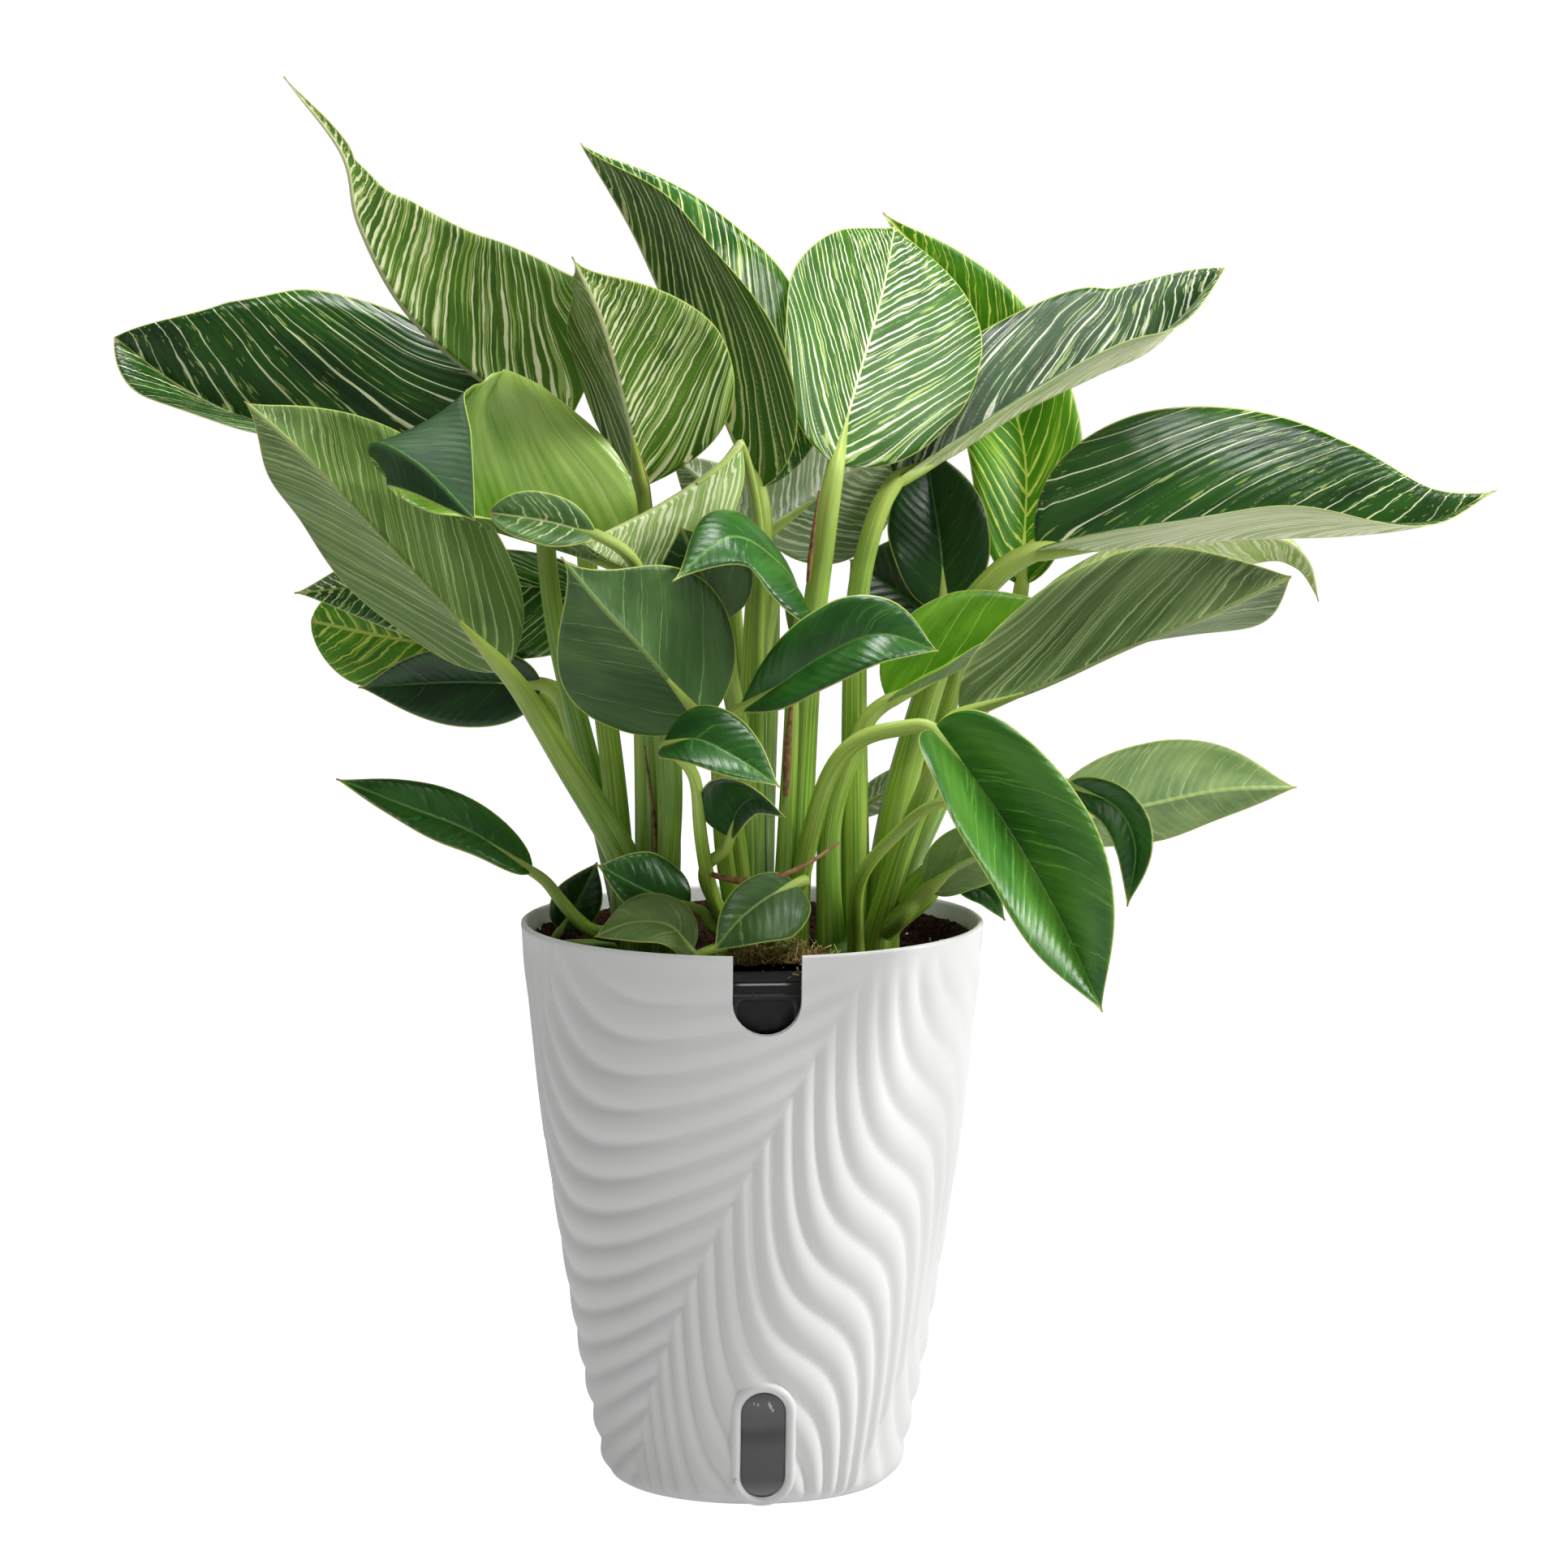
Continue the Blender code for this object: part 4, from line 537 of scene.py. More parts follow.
def stalk_skin():
    """Lime green stalks, lined along, darker low down and red along one side of a few."""
    made, n = material("stalk_green", {"Roughness": 0.34})
    share, around, red, seed = n.named("share"), n.named("around"), n.named("red"), n.named("seed")
    turn = n.times(n.maths("ABSOLUTE", n.minus(around, 0.5)), 2.0)

    def lengthways(along, across, scale, detail):
        """Noise drawn out along the stalk."""
        return n.noise(n.vector(n.times(share, along), n.times(turn, across), seed), scale, detail)

    streaks = lengthways(1.2, 9.0, 2.2, 3.0)
    colour = n.mix(n.between(streaks, 0.35, 0.62), (104, 160, 26), (188, 214, 84))
    colour = n.mix(n.between(n.chance(seed), 0.0, 1.0, 0.0, 0.55), colour, (92, 148, 40))
    # Lighter towards the blade: the stalks' paler tops, and a painted highlight on them
    colour = n.mix(n.between(share, 0.5, 0.98, 0.0, 0.6), colour, (196, 212, 104))
    colour = n.mix(n.between(n.grain(38.0, 3.0), 0.5, 0.75, 0.0, 0.45), colour, (74, 128, 36))
    colour = n.mix(n.between(share, 0.0, 0.35, 0.45, 0.0), colour, (58, 108, 36))
    lines = lengthways(2.0, 26.0, 1.6, 1.0)
    colour = n.mix(n.between(lines, 0.6, 0.66, 0.0, 0.5, smooth=True), colour, (214, 224, 140))
    line = n.times(n.between(turn, 0.1, 0.03, smooth=True), red)
    broken = n.between(n.noise(n.vector(n.times(share, 5.0), seed, 0.0), 1.0, 1.0), 0.42, 0.52)
    n.put("Base Color", n.mix(n.times(line, broken), colour, (150, 58, 44)))
    n.bump(lengthways(3.0, 24.0, 2.0, 2.0), 0.45, 0.4)
    return made


def white_plastic():
    """Satin white moulding, with the faint grain of the mould."""
    made, n = material("white_plastic", {})
    n.put("Base Color", n.mix(n.between(n.grain(14.0), 0.35, 0.65), (231, 231, 230), (237, 237, 236)))
    grain = n.grain(1800.0)
    n.put("Roughness", n.between(grain, 0.3, 0.7, 0.38, 0.46))
    n.bump(grain, 0.06, 0.05)
    return made


def black_plastic():
    """Black moulding, dusty, with painted highlights in light grey where its attribute says."""
    made, n = material("black_plastic", {"Specular IOR Level": 0.42})
    dust = n.grain(260.0, 4.0)
    black = n.mix(n.between(dust, 0.5, 0.8, 0.0, 0.35), (8, 8, 9), (38, 35, 33))
    # Light grey where the panel paints a highlight
    n.put("Base Color", n.mix(n.named("painted_highlight"), black, (214, 212, 210)))
    n.put("Roughness", n.between(dust, 0.3, 0.7, 0.26, 0.5))
    n.bump(n.grain(900.0), 0.08, 0.1)
    return made


def clear_plastic():
    """The pane over the water, grey by height: painted shade of the dim reservoir behind it, a darker
    band at the water's line, and painted light where the pane curves in at the bottom.
    """
    made, n = material("clear_plastic", {"Roughness": 0.07, "Alpha": 0.86, "Coat Weight": 0.6,
                                         "Coat Roughness": 0.03})
    height = n.times(n.add("ShaderNodeSeparateXYZ", {0: n.place()}, output="Z"), 1 / MM)
    height = n.plus(height, n.times(n.grain(140.0), 2.5))
    # Greys by height: painted shade of the reservoir, the water's line, and painted light at the bottom
    # curve
    stops = [(at, (grey, grey, grey + 1)) for at, grey in PANE_PAINTED_GREYS]
    n.put("Base Color", n.ramp(n.between(height, WINDOW_BOTTOM + 0.4, WINDOW_TOP + 2.0), stops))
    return made


def drops_painted_glint():
    """Drops that have run together on the pane, painted near white as a glint, lighter and darker at
    random.
    """
    made, n = material("drops_painted_glint", {"Roughness": 0.08, "Coat Weight": 1.0})
    n.put("Base Color", n.mix(n.between(n.grain(900.0), 0.35, 0.65), (140, 142, 144), (226, 228, 230)))
    return made


def potting_soil():
    """Dark crumbly soil with reddish flecks, and grains in several tones."""
    made, n = material("potting_soil", {"Roughness": 0.95, "Specular IOR Level": 0.1})
    lumps = n.grain(300.0, 5.0)
    colour = n.mix(n.between(lumps, 0.35, 0.7), (20, 11, 8), (56, 32, 24))
    colour = n.mix(n.between(n.grain(900.0), 0.58, 0.68, 0.0, 0.6), colour, (104, 60, 44))
    n.put("Base Color", n.mix(n.between(n.named("tone"), 0.5, 0.95, 0.0, 0.85), colour, (98, 54, 38)))
    n.bump(lumps, 0.8, 1.2)
    return made


def perlite():
    """Pitted off-white bits of perlite."""
    made, n = material("perlite", {"Roughness": 0.8})
    pits = n.grain(700.0, 3.0)
    n.put("Base Color", n.mix(n.between(pits, 0.3, 0.7), (172, 164, 150), (226, 222, 212)))
    n.bump(pits, 0.6, 0.5)
    return made


def moss_strands():
    """Moss in greens, browns and straw, one tone for each strand, and the mound beneath them near
    black-brown as painted shade.
    """
    made, n = material("moss_strands", {"Roughness": 0.75})
    shift = n.between(n.grain(500.0), 0.35, 0.65, 0.0, 0.4)
    n.put("Base Color", n.mix(shift, n.ramp(n.named("tone"), MOSS_TONES), (76, 74, 32)))
    return made


def dry_sheath():
    """Brown papery sheaths, with a fine grain."""
    made, n = material("dry_sheath", {"Roughness": 0.6})
    grain = n.grain(420.0, 3.0)
    n.put("Base Color", n.mix(n.between(grain, 0.3, 0.7), (104, 62, 36), (170, 128, 82)))
    n.bump(grain, 0.5, 0.3)
    return made


# Paths and places, as in the plant's solids

def from_view(point):
    """Turn a point across, up and back in the main view into x, y and z in millimetres."""
    across, up, back = point
    x, z = across, up
    for _ in range(3):
        depth = back * math.cos(VIEW_TILT) - z * math.sin(VIEW_TILT)
        spread = 1 + depth / VIEW_DISTANCE
        x = VIEW_CENTRE[0] + (across - VIEW_CENTRE[0]) * spread
        level = VIEW_CENTRE[1] + (up - VIEW_CENTRE[1]) * spread
        z = (level - back * math.sin(VIEW_TILT)) / math.cos(VIEW_TILT)
    return np.array((x, back, z))


def to_part(points):
    """Turn plant points in millimetres, as the view faces it, into the part's metres."""
    turn = np.array(Matrix.Rotation(VIEW_TURN, 3, "Z"))
    return np.asarray(points) @ turn.T * MM


def unit(vectors):
    """Vectors of the same directions, each of length 1."""
    vectors = np.asarray(vectors, float)
    return vectors / np.maximum(np.linalg.norm(vectors, axis=-1, keepdims=True), 1e-9)


def smooth_path(points):
    """Points close together on a smooth curve through the given points."""
    points = [np.asarray(point, float) for point in points]
    ends = [2 * points[0] - points[1], *points, 2 * points[-1] - points[-2]]
    steps = 24
    path = []
    for a, b, c, d in zip(ends, ends[1:], ends[2:], ends[3:]):
        for t in np.arange(steps) / steps:
            path.append(0.5 * (2 * b + (c - a) * t + (2 * a - 5 * b + 4 * c - d) * t * t
                               + (3 * b - a - 3 * c + d) * t ** 3))
    path.append(points[-1])
    return np.array(path)


def along_path(path, shares):
    """Points at the given shares of a path's length."""
    steps = np.linalg.norm(np.diff(path, axis=0), axis=1)
    length = np.concatenate(([0], np.cumsum(steps)))
    wanted = np.asarray(shares) * length[-1]
    return np.stack([np.interp(wanted, length, path[:, axis]) for axis in range(3)], -1)


def path_length(path):
    """The length of a path of points."""
    return float(np.linalg.norm(np.diff(path, axis=0), axis=1).sum())


def along_leaf(values, t):
    """The value at t between a leaf's base, middle and tip values."""
    if not isinstance(values, tuple):
        return values
    base, middle, tip = values
    return base * (1 - t) * (1 - 2 * t) + 4 * middle * t * (1 - t) + tip * t * (2 * t - 1)


def half_width(leaf, t):
    """Half the blade's width at t: rounded at the base, drawn out to the tip."""
    peak = leaf["peak"]
    tail, tail_width = leaf["tail"]
    if t < peak:
        share = (1 - ((peak - t) / peak) ** 2.4) ** leaf["base"]
        least = 1.6
    else:
        done = (t - peak) / (tail - peak)
        share = (1 - min(done, 1) ** 2.1) ** leaf["point"]
        least = 2.2 * (1 - t) + 0.35
        if tail < 1:
            share = max(share, tail_width / leaf["width"] * min(done, (1 - t) / (1 - tail)))
    return max(leaf["width"] * share, least)


def leaf_spine(leaf, along):
    """Stations on the midrib, with its direction and the upper face's direction at each."""
    path = smooth_path([from_view(point) for point in leaf["rib"]])
    even = np.arange(along + 1) / along
    shares = 0.5 * even + 0.25 * (1 - np.cos(math.pi * even))
    ahead = along_path(path, np.minimum(shares + 0.01, 1))
    behind = along_path(path, np.maximum(shares - 0.01, 0))
    direction = unit(ahead - behind)
    start = round(leaf["start"] * along)
    upper = [np.array(leaf["facing"])] * (along + 1)
    for k in [*range(start, along + 1), *range(start - 1, -1, -1)]:
        nearest = upper[k] if k == start else upper[k - 1 if k > start else k + 1]
        upper[k] = unit(nearest - nearest.dot(direction[k]) * direction[k])
    return shares, along_path(path, shares), direction, upper, path_length(path)


# Leaf blades

# Each half's arch in degrees, how its columns crowd to the midrib, how veins run, and how high
# the blade's waves, its frill (both as shares of its width) and its quilting (in mm) are
BLADE_ARCH = -12.0
RIB_CROWDING = 1.4
BLADE_HALF_THICKNESS = 0.32
VEIN_LEAN = 1.0
VEIN_CURVE = 0.25
RIPPLE = 0.03
FRILL = 0.014
QUILTING = 0.16
QUILT_PITCH = 7.0
# How many rows and columns a half blade has, from each width on
BLADE_GRIDS = ((28, (72, 12)), (13, (48, 8)), (0, (28, 5)))


def blade_rows(leaf, along, across):
    """The blade's middle surface, row by row from base to tip, and how each point lies on it."""
    shares, spine, direction, upper, length = leaf_spine(leaf, along)
    spread = (np.arange(1, across + 1) / across) ** RIB_CROWDING
    step = np.diff(np.concatenate(([0], spread)))
    middle = spread - step / 2
    edge = spread ** 2
    rows = np.zeros((along + 1, 2 * across + 1, 3))
    facts = {key: np.zeros(rows.shape[:2]) for key in ("vein", "across", "rib", "margin", "tip")}
    full_lean = VEIN_LEANS.get(leaf["name"], VEIN_LEAN)
    crowding = 1 / math.hypot(1, 0.85 * full_lean)
    for k, t in enumerate(shares):
        sideways = np.cross(direction[k], upper[k])
        swell = leaf["width"] * math.sin(math.pi * t)
        lean = full_lean * (1 - 0.75 * math.exp(-t / 0.1))
        rows[k, across] = spine[k]
        facts["vein"][k, across] = crowding * t * length
        facts["margin"][k, across] = half_width(leaf, t)
        facts["tip"][k, :] = (1 - t) * length
        for side, half in ((1, "right"), (-1, "left")):
            width = half_width(leaf, t) * leaf[half + "_share"]
            folds = np.radians(along_leaf(leaf[half], t) + BLADE_ARCH * (2 * middle - 1))
            run = np.cumsum(step * width * np.cos(folds))
            rise = np.cumsum(step * width * np.sin(folds))
            lobe = 0.12 * width * edge * math.exp(-(t / 0.14) ** 2)
            lift = RIPPLE * swell * edge * math.sin(4 * math.pi * t + side * 1.1)
            lift += FRILL * swell * spread ** 3 * math.sin(13 * t + side * 2.3 + leaf["seed"])
            vein = t * length - lean * width * (0.85 * spread + VEIN_CURVE * spread ** 3)
            quilt = np.sin(2 * math.pi * vein / QUILT_PITCH) * np.sin(math.pi * spread)
            lift += QUILTING * quilt * min(1, width / 20)
            fold = math.radians(along_leaf(leaf[half], t))
            face = math.cos(fold) * upper[k] - side * math.sin(fold) * sideways
            columns = across + side * np.arange(1, across + 1)
            rows[k, columns] = (spine[k] + side * run[:, None] * sideways + rise[:, None] * upper[k]
                                - lobe[:, None] * direction[k] + lift[:, None] * face)
            facts["vein"][k, columns] = crowding * (vein + (1.55 if side > 0 else 0))
            facts["across"][k, columns] = spread
            facts["rib"][k, columns] = spread * width
            facts["margin"][k, columns] = (1 - spread) * width
    return rows, facts


def sheet_faces(rows, columns):
    """Quads of a closed sheet whose upper points come first, then as many lower ones."""
    below = rows * columns
    index = np.arange(below).reshape(rows, columns)
    a, b, c, d = index[:-1, :-1], index[:-1, 1:], index[1:, 1:], index[1:, :-1]
    upper = np.stack((a, b, c, d), -1).reshape(-1, 4)
    lower = np.stack((a, d, c, b), -1).reshape(-1, 4) + below
    rim = np.concatenate((index[0, :-1], index[:-1, -1], index[-1, :0:-1], index[:0:-1, 0]))
    following = np.roll(rim, -1)
    edge = np.stack((following, rim, rim + below, following + below), -1)
    return np.concatenate((upper, lower, edge))


def mesh_of(name, points, edges, faces, facts):
    """A mesh with a number for each of its points under each name in facts."""
    mesh = bpy.data.meshes.new(name)
    mesh.from_pydata(points, edges, faces)
    for key, values in facts.items():
        layer = mesh.attributes.new(key, "FLOAT", "POINT")
        layer.data.foreach_set("value", np.asarray(values, dtype=np.float32))
    return mesh


def sheet_mesh(name, upper, lower, facts, skins):
    """A closed mesh from an upper and a lower grid of points, in millimetres as the view faces.
    With two skins, the first is the upper face's."""
    rows, columns = upper.shape[:2]
    points = to_part(np.concatenate((upper.reshape(-1, 3), lower.reshape(-1, 3))))
    both_sides = {key: np.tile(values.ravel(), 2) for key, values in facts.items()}
    mesh = mesh_of(name, points, [], sheet_faces(rows, columns).tolist(), both_sides)
    for skin in skins:
        mesh.materials.append(skin)
    if len(skins) > 1:
        order = np.ones(len(mesh.polygons), dtype=np.int32)
        order[:(rows - 1) * (columns - 1)] = 0
        mesh.polygons.foreach_set("material_index", order)
    mesh.shade_smooth()
    return show(name, mesh)


def show(name, data):
    """A new object of a mesh, light or camera, in the scene."""
    made = bpy.data.objects.new(name, data)
    bpy.context.scene.collection.objects.link(made)
    return made


def mesh_from(cage, name):
    """The mesh of a finished cage of points and faces."""
    mesh = bpy.data.meshes.new(name)
    cage.to_mesh(mesh)
    cage.free()
    return mesh


def as_plain(piece):
    """Give a piece the mesh that its modifiers make, and take them off."""
    bpy.context.view_layer.update()
    made = bpy.data.meshes.new_from_object(piece.evaluated_get(bpy.context.evaluated_depsgraph_get()))
    piece.modifiers.clear()
    piece.data = made


def leaf_blade(leaf, skins):
    """A thin leaf with a thinner margin and a midrib that stands out on its underside."""
    size = leaf["width"]
    along, across = next(grid for least, grid in BLADE_GRIDS if size >= least)
    rows, facts = blade_rows(leaf, along, across)
    outward = unit(np.cross(np.gradient(rows, axis=1), np.gradient(rows, axis=0)))
    thin = BLADE_HALF_THICKNESS * np.clip(facts["margin"] / 1.5, 0.4, 1)
    tip_share = facts["tip"] / facts["tip"][0, 0]
    keel = min(0.12 * size, 1.5) * tip_share * np.exp(-(facts["rib"] / 1.3) ** 2)
    facts["seed"] = np.full(facts["rib"].shape, leaf["seed"])
    return sheet_mesh(leaf["name"] + "_blade", rows + outward * thin[..., None],
                      rows - outward * (thin + keel)[..., None], facts, skins)


# Geometry Nodes

def piece_tree(name, skins, sizes):
    """A new tree with a geometry input, named skins and sizes, and one geometry output."""
    tree = bpy.data.node_groups.new(name, "GeometryNodeTree")
    tree.interface.new_socket("Geometry", in_out="INPUT", socket_type="NodeSocketGeometry")
    for label in skins:
        tree.interface.new_socket(label, in_out="INPUT", socket_type="NodeSocketMaterial")
    for label, value in sizes.items():
        kind = "NodeSocketInt" if isinstance(value, int) else "NodeSocketFloat"
        tree.interface.new_socket(label, in_out="INPUT", socket_type=kind).default_value = value
    tree.interface.new_socket("Geometry", in_out="OUTPUT", socket_type="NodeSocketGeometry")
    source = tree.nodes.new("NodeGroupInput")
    return tree, Nodes(tree), {socket.name: socket for socket in source.outputs if socket.name}


def end_tree(n, geometry, skin=None):
    """Make a tree's instances real, give them a skin, and end the tree with them."""
    geometry = n.add("GeometryNodeRealizeInstances", {0: geometry})
    if skin is not None:
        geometry = skinned(n, geometry, skin)
    n.join(geometry, n.tree.nodes.new("NodeGroupOutput").inputs[0])


def skinned(n, geometry, skin):
    """Give a geometry a skin."""
    return n.add("GeometryNodeSetMaterial", {"Geometry": geometry, "Material": skin})


def joined(n, parts):
    """One geometry of several."""
    whole = n.tree.nodes.new("GeometryNodeJoinGeometry")
    for part in parts:
        n.join(part, whole.inputs[0])
    return whole.outputs[0]


def moved(n, geometry, **inputs):
    """Move a geometry's points, by an offset or to a position."""
    return n.add("GeometryNodeSetPosition", {"Geometry": geometry, **inputs})


def smoothed(n, geometry):
    """Shade a geometry's faces smooth."""
    return n.add("GeometryNodeSetShadeSmooth", {0: geometry})


def random_vector(n, low, high):
    """A vector for each piece, at random between two."""
    return n.add("FunctionNodeRandomValue", {0: low, 1: high}, data_type="FLOAT_VECTOR")


def random_number(n, low, high, seed):
    """A number for each piece, at random between two."""
    return n.add("FunctionNodeRandomValue", {2: low, 3: high, "Seed": seed}, output=1, data_type="FLOAT")


def grown(name, mesh, tree, values):
    """Run a tree on a mesh with the given named inputs and keep the result as a plain mesh."""
    piece = show(name, mesh)
    modifier = piece.modifiers.new(tree.name, "NODES")
    modifier.node_group = tree
    sockets = {s.name: s.identifier for s in tree.interface.items_tree if s.in_out == "INPUT"}
    for label, value in values.items():
        modifier[sockets[label]] = value
    as_plain(piece)
    piece.data.name = name
    for k in reversed(range(len(piece.data.materials))):
        if piece.data.materials[k] is None:
            piece.data.materials.pop(index=k)
    return piece


def line_mesh(name, points, **facts):
    """A mesh of points joined in one line."""
    return mesh_of(name, points, [(k, k + 1) for k in range(len(points) - 1)], [], facts)


def stored(n, geometry, name, value, domain="POINT"):
    """Keep a value for each point or instance under a name."""
    inputs = {"Geometry": geometry, "Name": name, "Value": value}
    return n.add("GeometryNodeStoreNamedAttribute", inputs, data_type="FLOAT", domain=domain)


def read(n, name):
    """The numbers kept under a name."""
    return n.add("GeometryNodeInputNamedAttribute", {"Name": name}, data_type="FLOAT")


def turned_wall_tree():
    """Turn a profile line about the pot's axis and raise the waves on its outside rows."""
    sizes = {"Ridge columns": 8, "Swag columns": 8, "Height": POT_HEIGHT, **WAVES}
    tree, n, given = piece_tree("turned wall with waves", ["Material"], sizes)
    ridge, swag, full = given["Ridge columns"], given["Swag columns"], given["Height"]
    rows = n.add("GeometryNodeAttributeDomainSize", {0: given["Geometry"]}, component="MESH")
    per_turn = n.plus(ridge, swag)
    all_columns = n.times(per_turn, 2.0)
    grid = n.add("GeometryNodeMeshGrid", {"Size X": 1.0, "Size Y": 1.0, "Vertices Y": rows,
                                          "Vertices X": n.plus(all_columns, 1.0)})

    # Which column and row of the grid a point is in, and its place on the profile
    place = n.add("GeometryNodeInputPosition")
    spot = n.add("ShaderNodeSeparateXYZ", {0: place}).node.outputs
    column = n.maths("ROUND", n.times(n.plus(spot[0], 0.5), all_columns))
    row = n.maths("ROUND", n.times(n.plus(spot[1], 0.5), n.minus(rows, 1.0)))
    profile = {"Geometry": given["Geometry"], "Index": row}
    outer = n.add("GeometryNodeSampleIndex", {**profile, "Value": read(n, "outer")}, data_type="FLOAT")
    sample = n.add("GeometryNodeSampleIndex", {**profile, "Value": place}, data_type="FLOAT_VECTOR")
    point = n.add("ShaderNodeSeparateXYZ", {0: sample}).node.outputs
    radius = n.times(point[0], 1 / MM)
    height = n.times(point[2], 1 / MM)

    # The angle round the pot, from the diagonal: first the ridges' columns, then the swags'
    turn = n.maths("FLOOR", n.over(n.plus(column, 0.01), per_turn))
    within = n.minus(column, n.times(turn, per_turn))
    past = n.maths("GREATER_THAN", n.plus(within, 0.01), ridge)
    span = given["Ridge span"]
    on_ridge = n.times(n.over(within, ridge), span)
    swag_share = n.maths("MAXIMUM", n.over(n.minus(within, ridge), swag), 0.0)
    on_swag = n.plus(span, n.times(swag_share, n.minus(REPEAT, span)))

    def either(ridges, swags):
        return n.add("GeometryNodeSwitch", {0: past, 1: ridges, 2: swags}, input_type="FLOAT")

    reach = n.minus(given["Diagonal top"], given["Diagonal base"])
    lean = n.plus(given["Diagonal base"], n.times(reach, n.over(height, full)))
    angle = n.plus(n.times(turn, REPEAT), either(on_ridge, on_swag))
    around = n.maths("RADIANS", n.plus(angle, lean))

    # Ridges fall away from the diagonal and ease in the middle
    wave = n.over(2 * math.pi, span)
    ease = n.minus(on_ridge, n.over(n.maths("SINE", n.times(wave, on_ridge)), wave))
    eased = n.times(n.over(given["Ridge ease"], 2.0), ease)
    fallen = n.minus(n.times(n.over(full, reach), on_ridge), eased)
    ridge_phase = n.plus(n.minus(height, given["Swag end"]), fallen)

    # Swags hang from the ridges' end and climb to the next diagonal
    def curve(amount, share):
        return n.times(amount, n.maths("POWER", n.maths("MAXIMUM", share, 0.0), 2.0))

    lowest = given["Swag lowest"]
    fall = curve(given["Swag start"], n.minus(1.0, n.over(swag_share, lowest)))
    climb = curve(given["Swag end"], n.over(n.minus(swag_share, lowest), n.minus(1.0, lowest)))
    swag_phase = n.minus(height, n.plus(fall, climb))

    crest = n.over(either(ridge_phase, swag_phase), given["Pitch"])
    crest = n.maths("ABSOLUTE", n.maths("SINE", n.times(crest, math.pi)))
    top = n.between(n.minus(full, height), 0.0, given["Top fade"], smooth=True)
    base = n.between(height, 0.0, given["Base fade"])
    amount = n.times(either(given["Ridge height"], given["Swag height"]), n.times(top, base))
    raised = n.times(n.times(amount, n.minus(crest, 0.5)), outer)
    radius = n.times(n.plus(radius, raised), MM)
    x = n.times(radius, n.maths("SINE", around))
    y = n.times(n.times(radius, n.maths("COSINE", around)), -1.0)
    wall = moved(n, grid, Position=n.vector(x, y, n.times(height, MM)))
    wall = n.add("GeometryNodeMergeByDistance", {"Geometry": wall, "Distance": 0.00001})
    end_tree(n, smoothed(n, wall), given["Material"])
    return tree


def tube_tree():
    """Round tubes along lines, each as thick as its points say, grooved on one side."""
    tree, n, given = piece_tree("stalks along lines", ["Material"], STALK_TUBES)
    line = n.add("GeometryNodeMeshToCurve", {0: given["Geometry"]})
    line = n.add("GeometryNodeSetCurveRadius", {"Curve": line, "Radius": read(n, "thickness")})
    ring = n.add("GeometryNodeCurvePrimitiveCircle", {"Resolution": given["Sides"], "Radius": MM})
    turn = n.add("GeometryNodeSplineParameter", output="Factor")
    ring = stored(n, ring, "around", turn)
    away = n.maths("ABSOLUTE", n.minus(turn, 0.5))
    dent = n.minus(1.0, n.times(given["Groove"], n.between(away, 0.0, 0.14, 1.0, 0.0, smooth=True)))
    ring = moved(n, ring, Position=n.scaled(n.add("GeometryNodeInputPosition"), dent))
    body = n.add("GeometryNodeCurveToMesh", {"Curve": line, "Profile Curve": ring, "Fill Caps": True,
                                             "Scale": read(n, "thickness")})
    end_tree(n, smoothed(n, body), given["Material"])
    return tree


# Pot pieces

def swapped(pairs):
    """Pairs of a height and a radius as pairs of a radius and a height."""
    return [(radius, height) for height, radius in pairs]


def wall_rows():
    """The pot wall's section from under its middle, up the outside, over the rim and down inside."""
    outside = smooth_path([(radius, 0, height) for height, radius in POT_PROFILE])
    heights = np.concatenate((FOOT_HEIGHTS, np.arange(8.5, POT_PROFILE[-1][0], ROW_STEP)))
    wall = [(float(np.interp(h, outside[:, 2], outside[:, 0])), float(h)) for h in heights]
    inside = swapped(POT_PROFILE[-1:] + RIM_EDGE + INSIDE_WALL)
    under = [(radius, 0) for radius in BASE_RADII]
    return under + wall + inside, [0] * len(under) + [1] * len(wall) + [0] * len(inside)


def turned(name, rows, outer, skin, tree, columns):
    """A piece turned from pairs of a radius and a height, with waves on its outer rows."""
    mesh = line_mesh(name, [(radius * MM, 0, height * MM) for radius, height in rows], outer=outer)
    values = {"Material": skin, "Ridge columns": columns[0], "Swag columns": columns[1]}
    return outward(grown(name, mesh, tree, values))


def outward(piece):
    """Weld a mesh and turn its faces outwards."""
    cage = bmesh.new()
    cage.from_mesh(piece.data)
    bmesh.ops.remove_doubles(cage, verts=cage.verts, dist=0.005 * MM)
    flat = [face for face in cage.faces if face.calc_area() < 1e-14]
    bmesh.ops.delete(cage, geom=flat, context="FACES_ONLY")
    bmesh.ops.recalc_face_normals(cage, faces=cage.faces)
    cage.to_mesh(piece.data)
    cage.free()
    return piece


def half_round(width, height, start, steps=16):
    """Half a circle of x and z pairs about a height, from a start in degrees."""
    angles = [math.radians(start + 180 * k / steps) for k in range(steps + 1)]
    return [(width / 2 * math.cos(a), height + width / 2 * math.sin(a)) for a in angles]


def oval(width, bottom, top):
    """An upright slot with round ends, as x and z pairs in millimetres."""
    return half_round(width, bottom + width / 2, 180) + half_round(width, top - width / 2, 0)


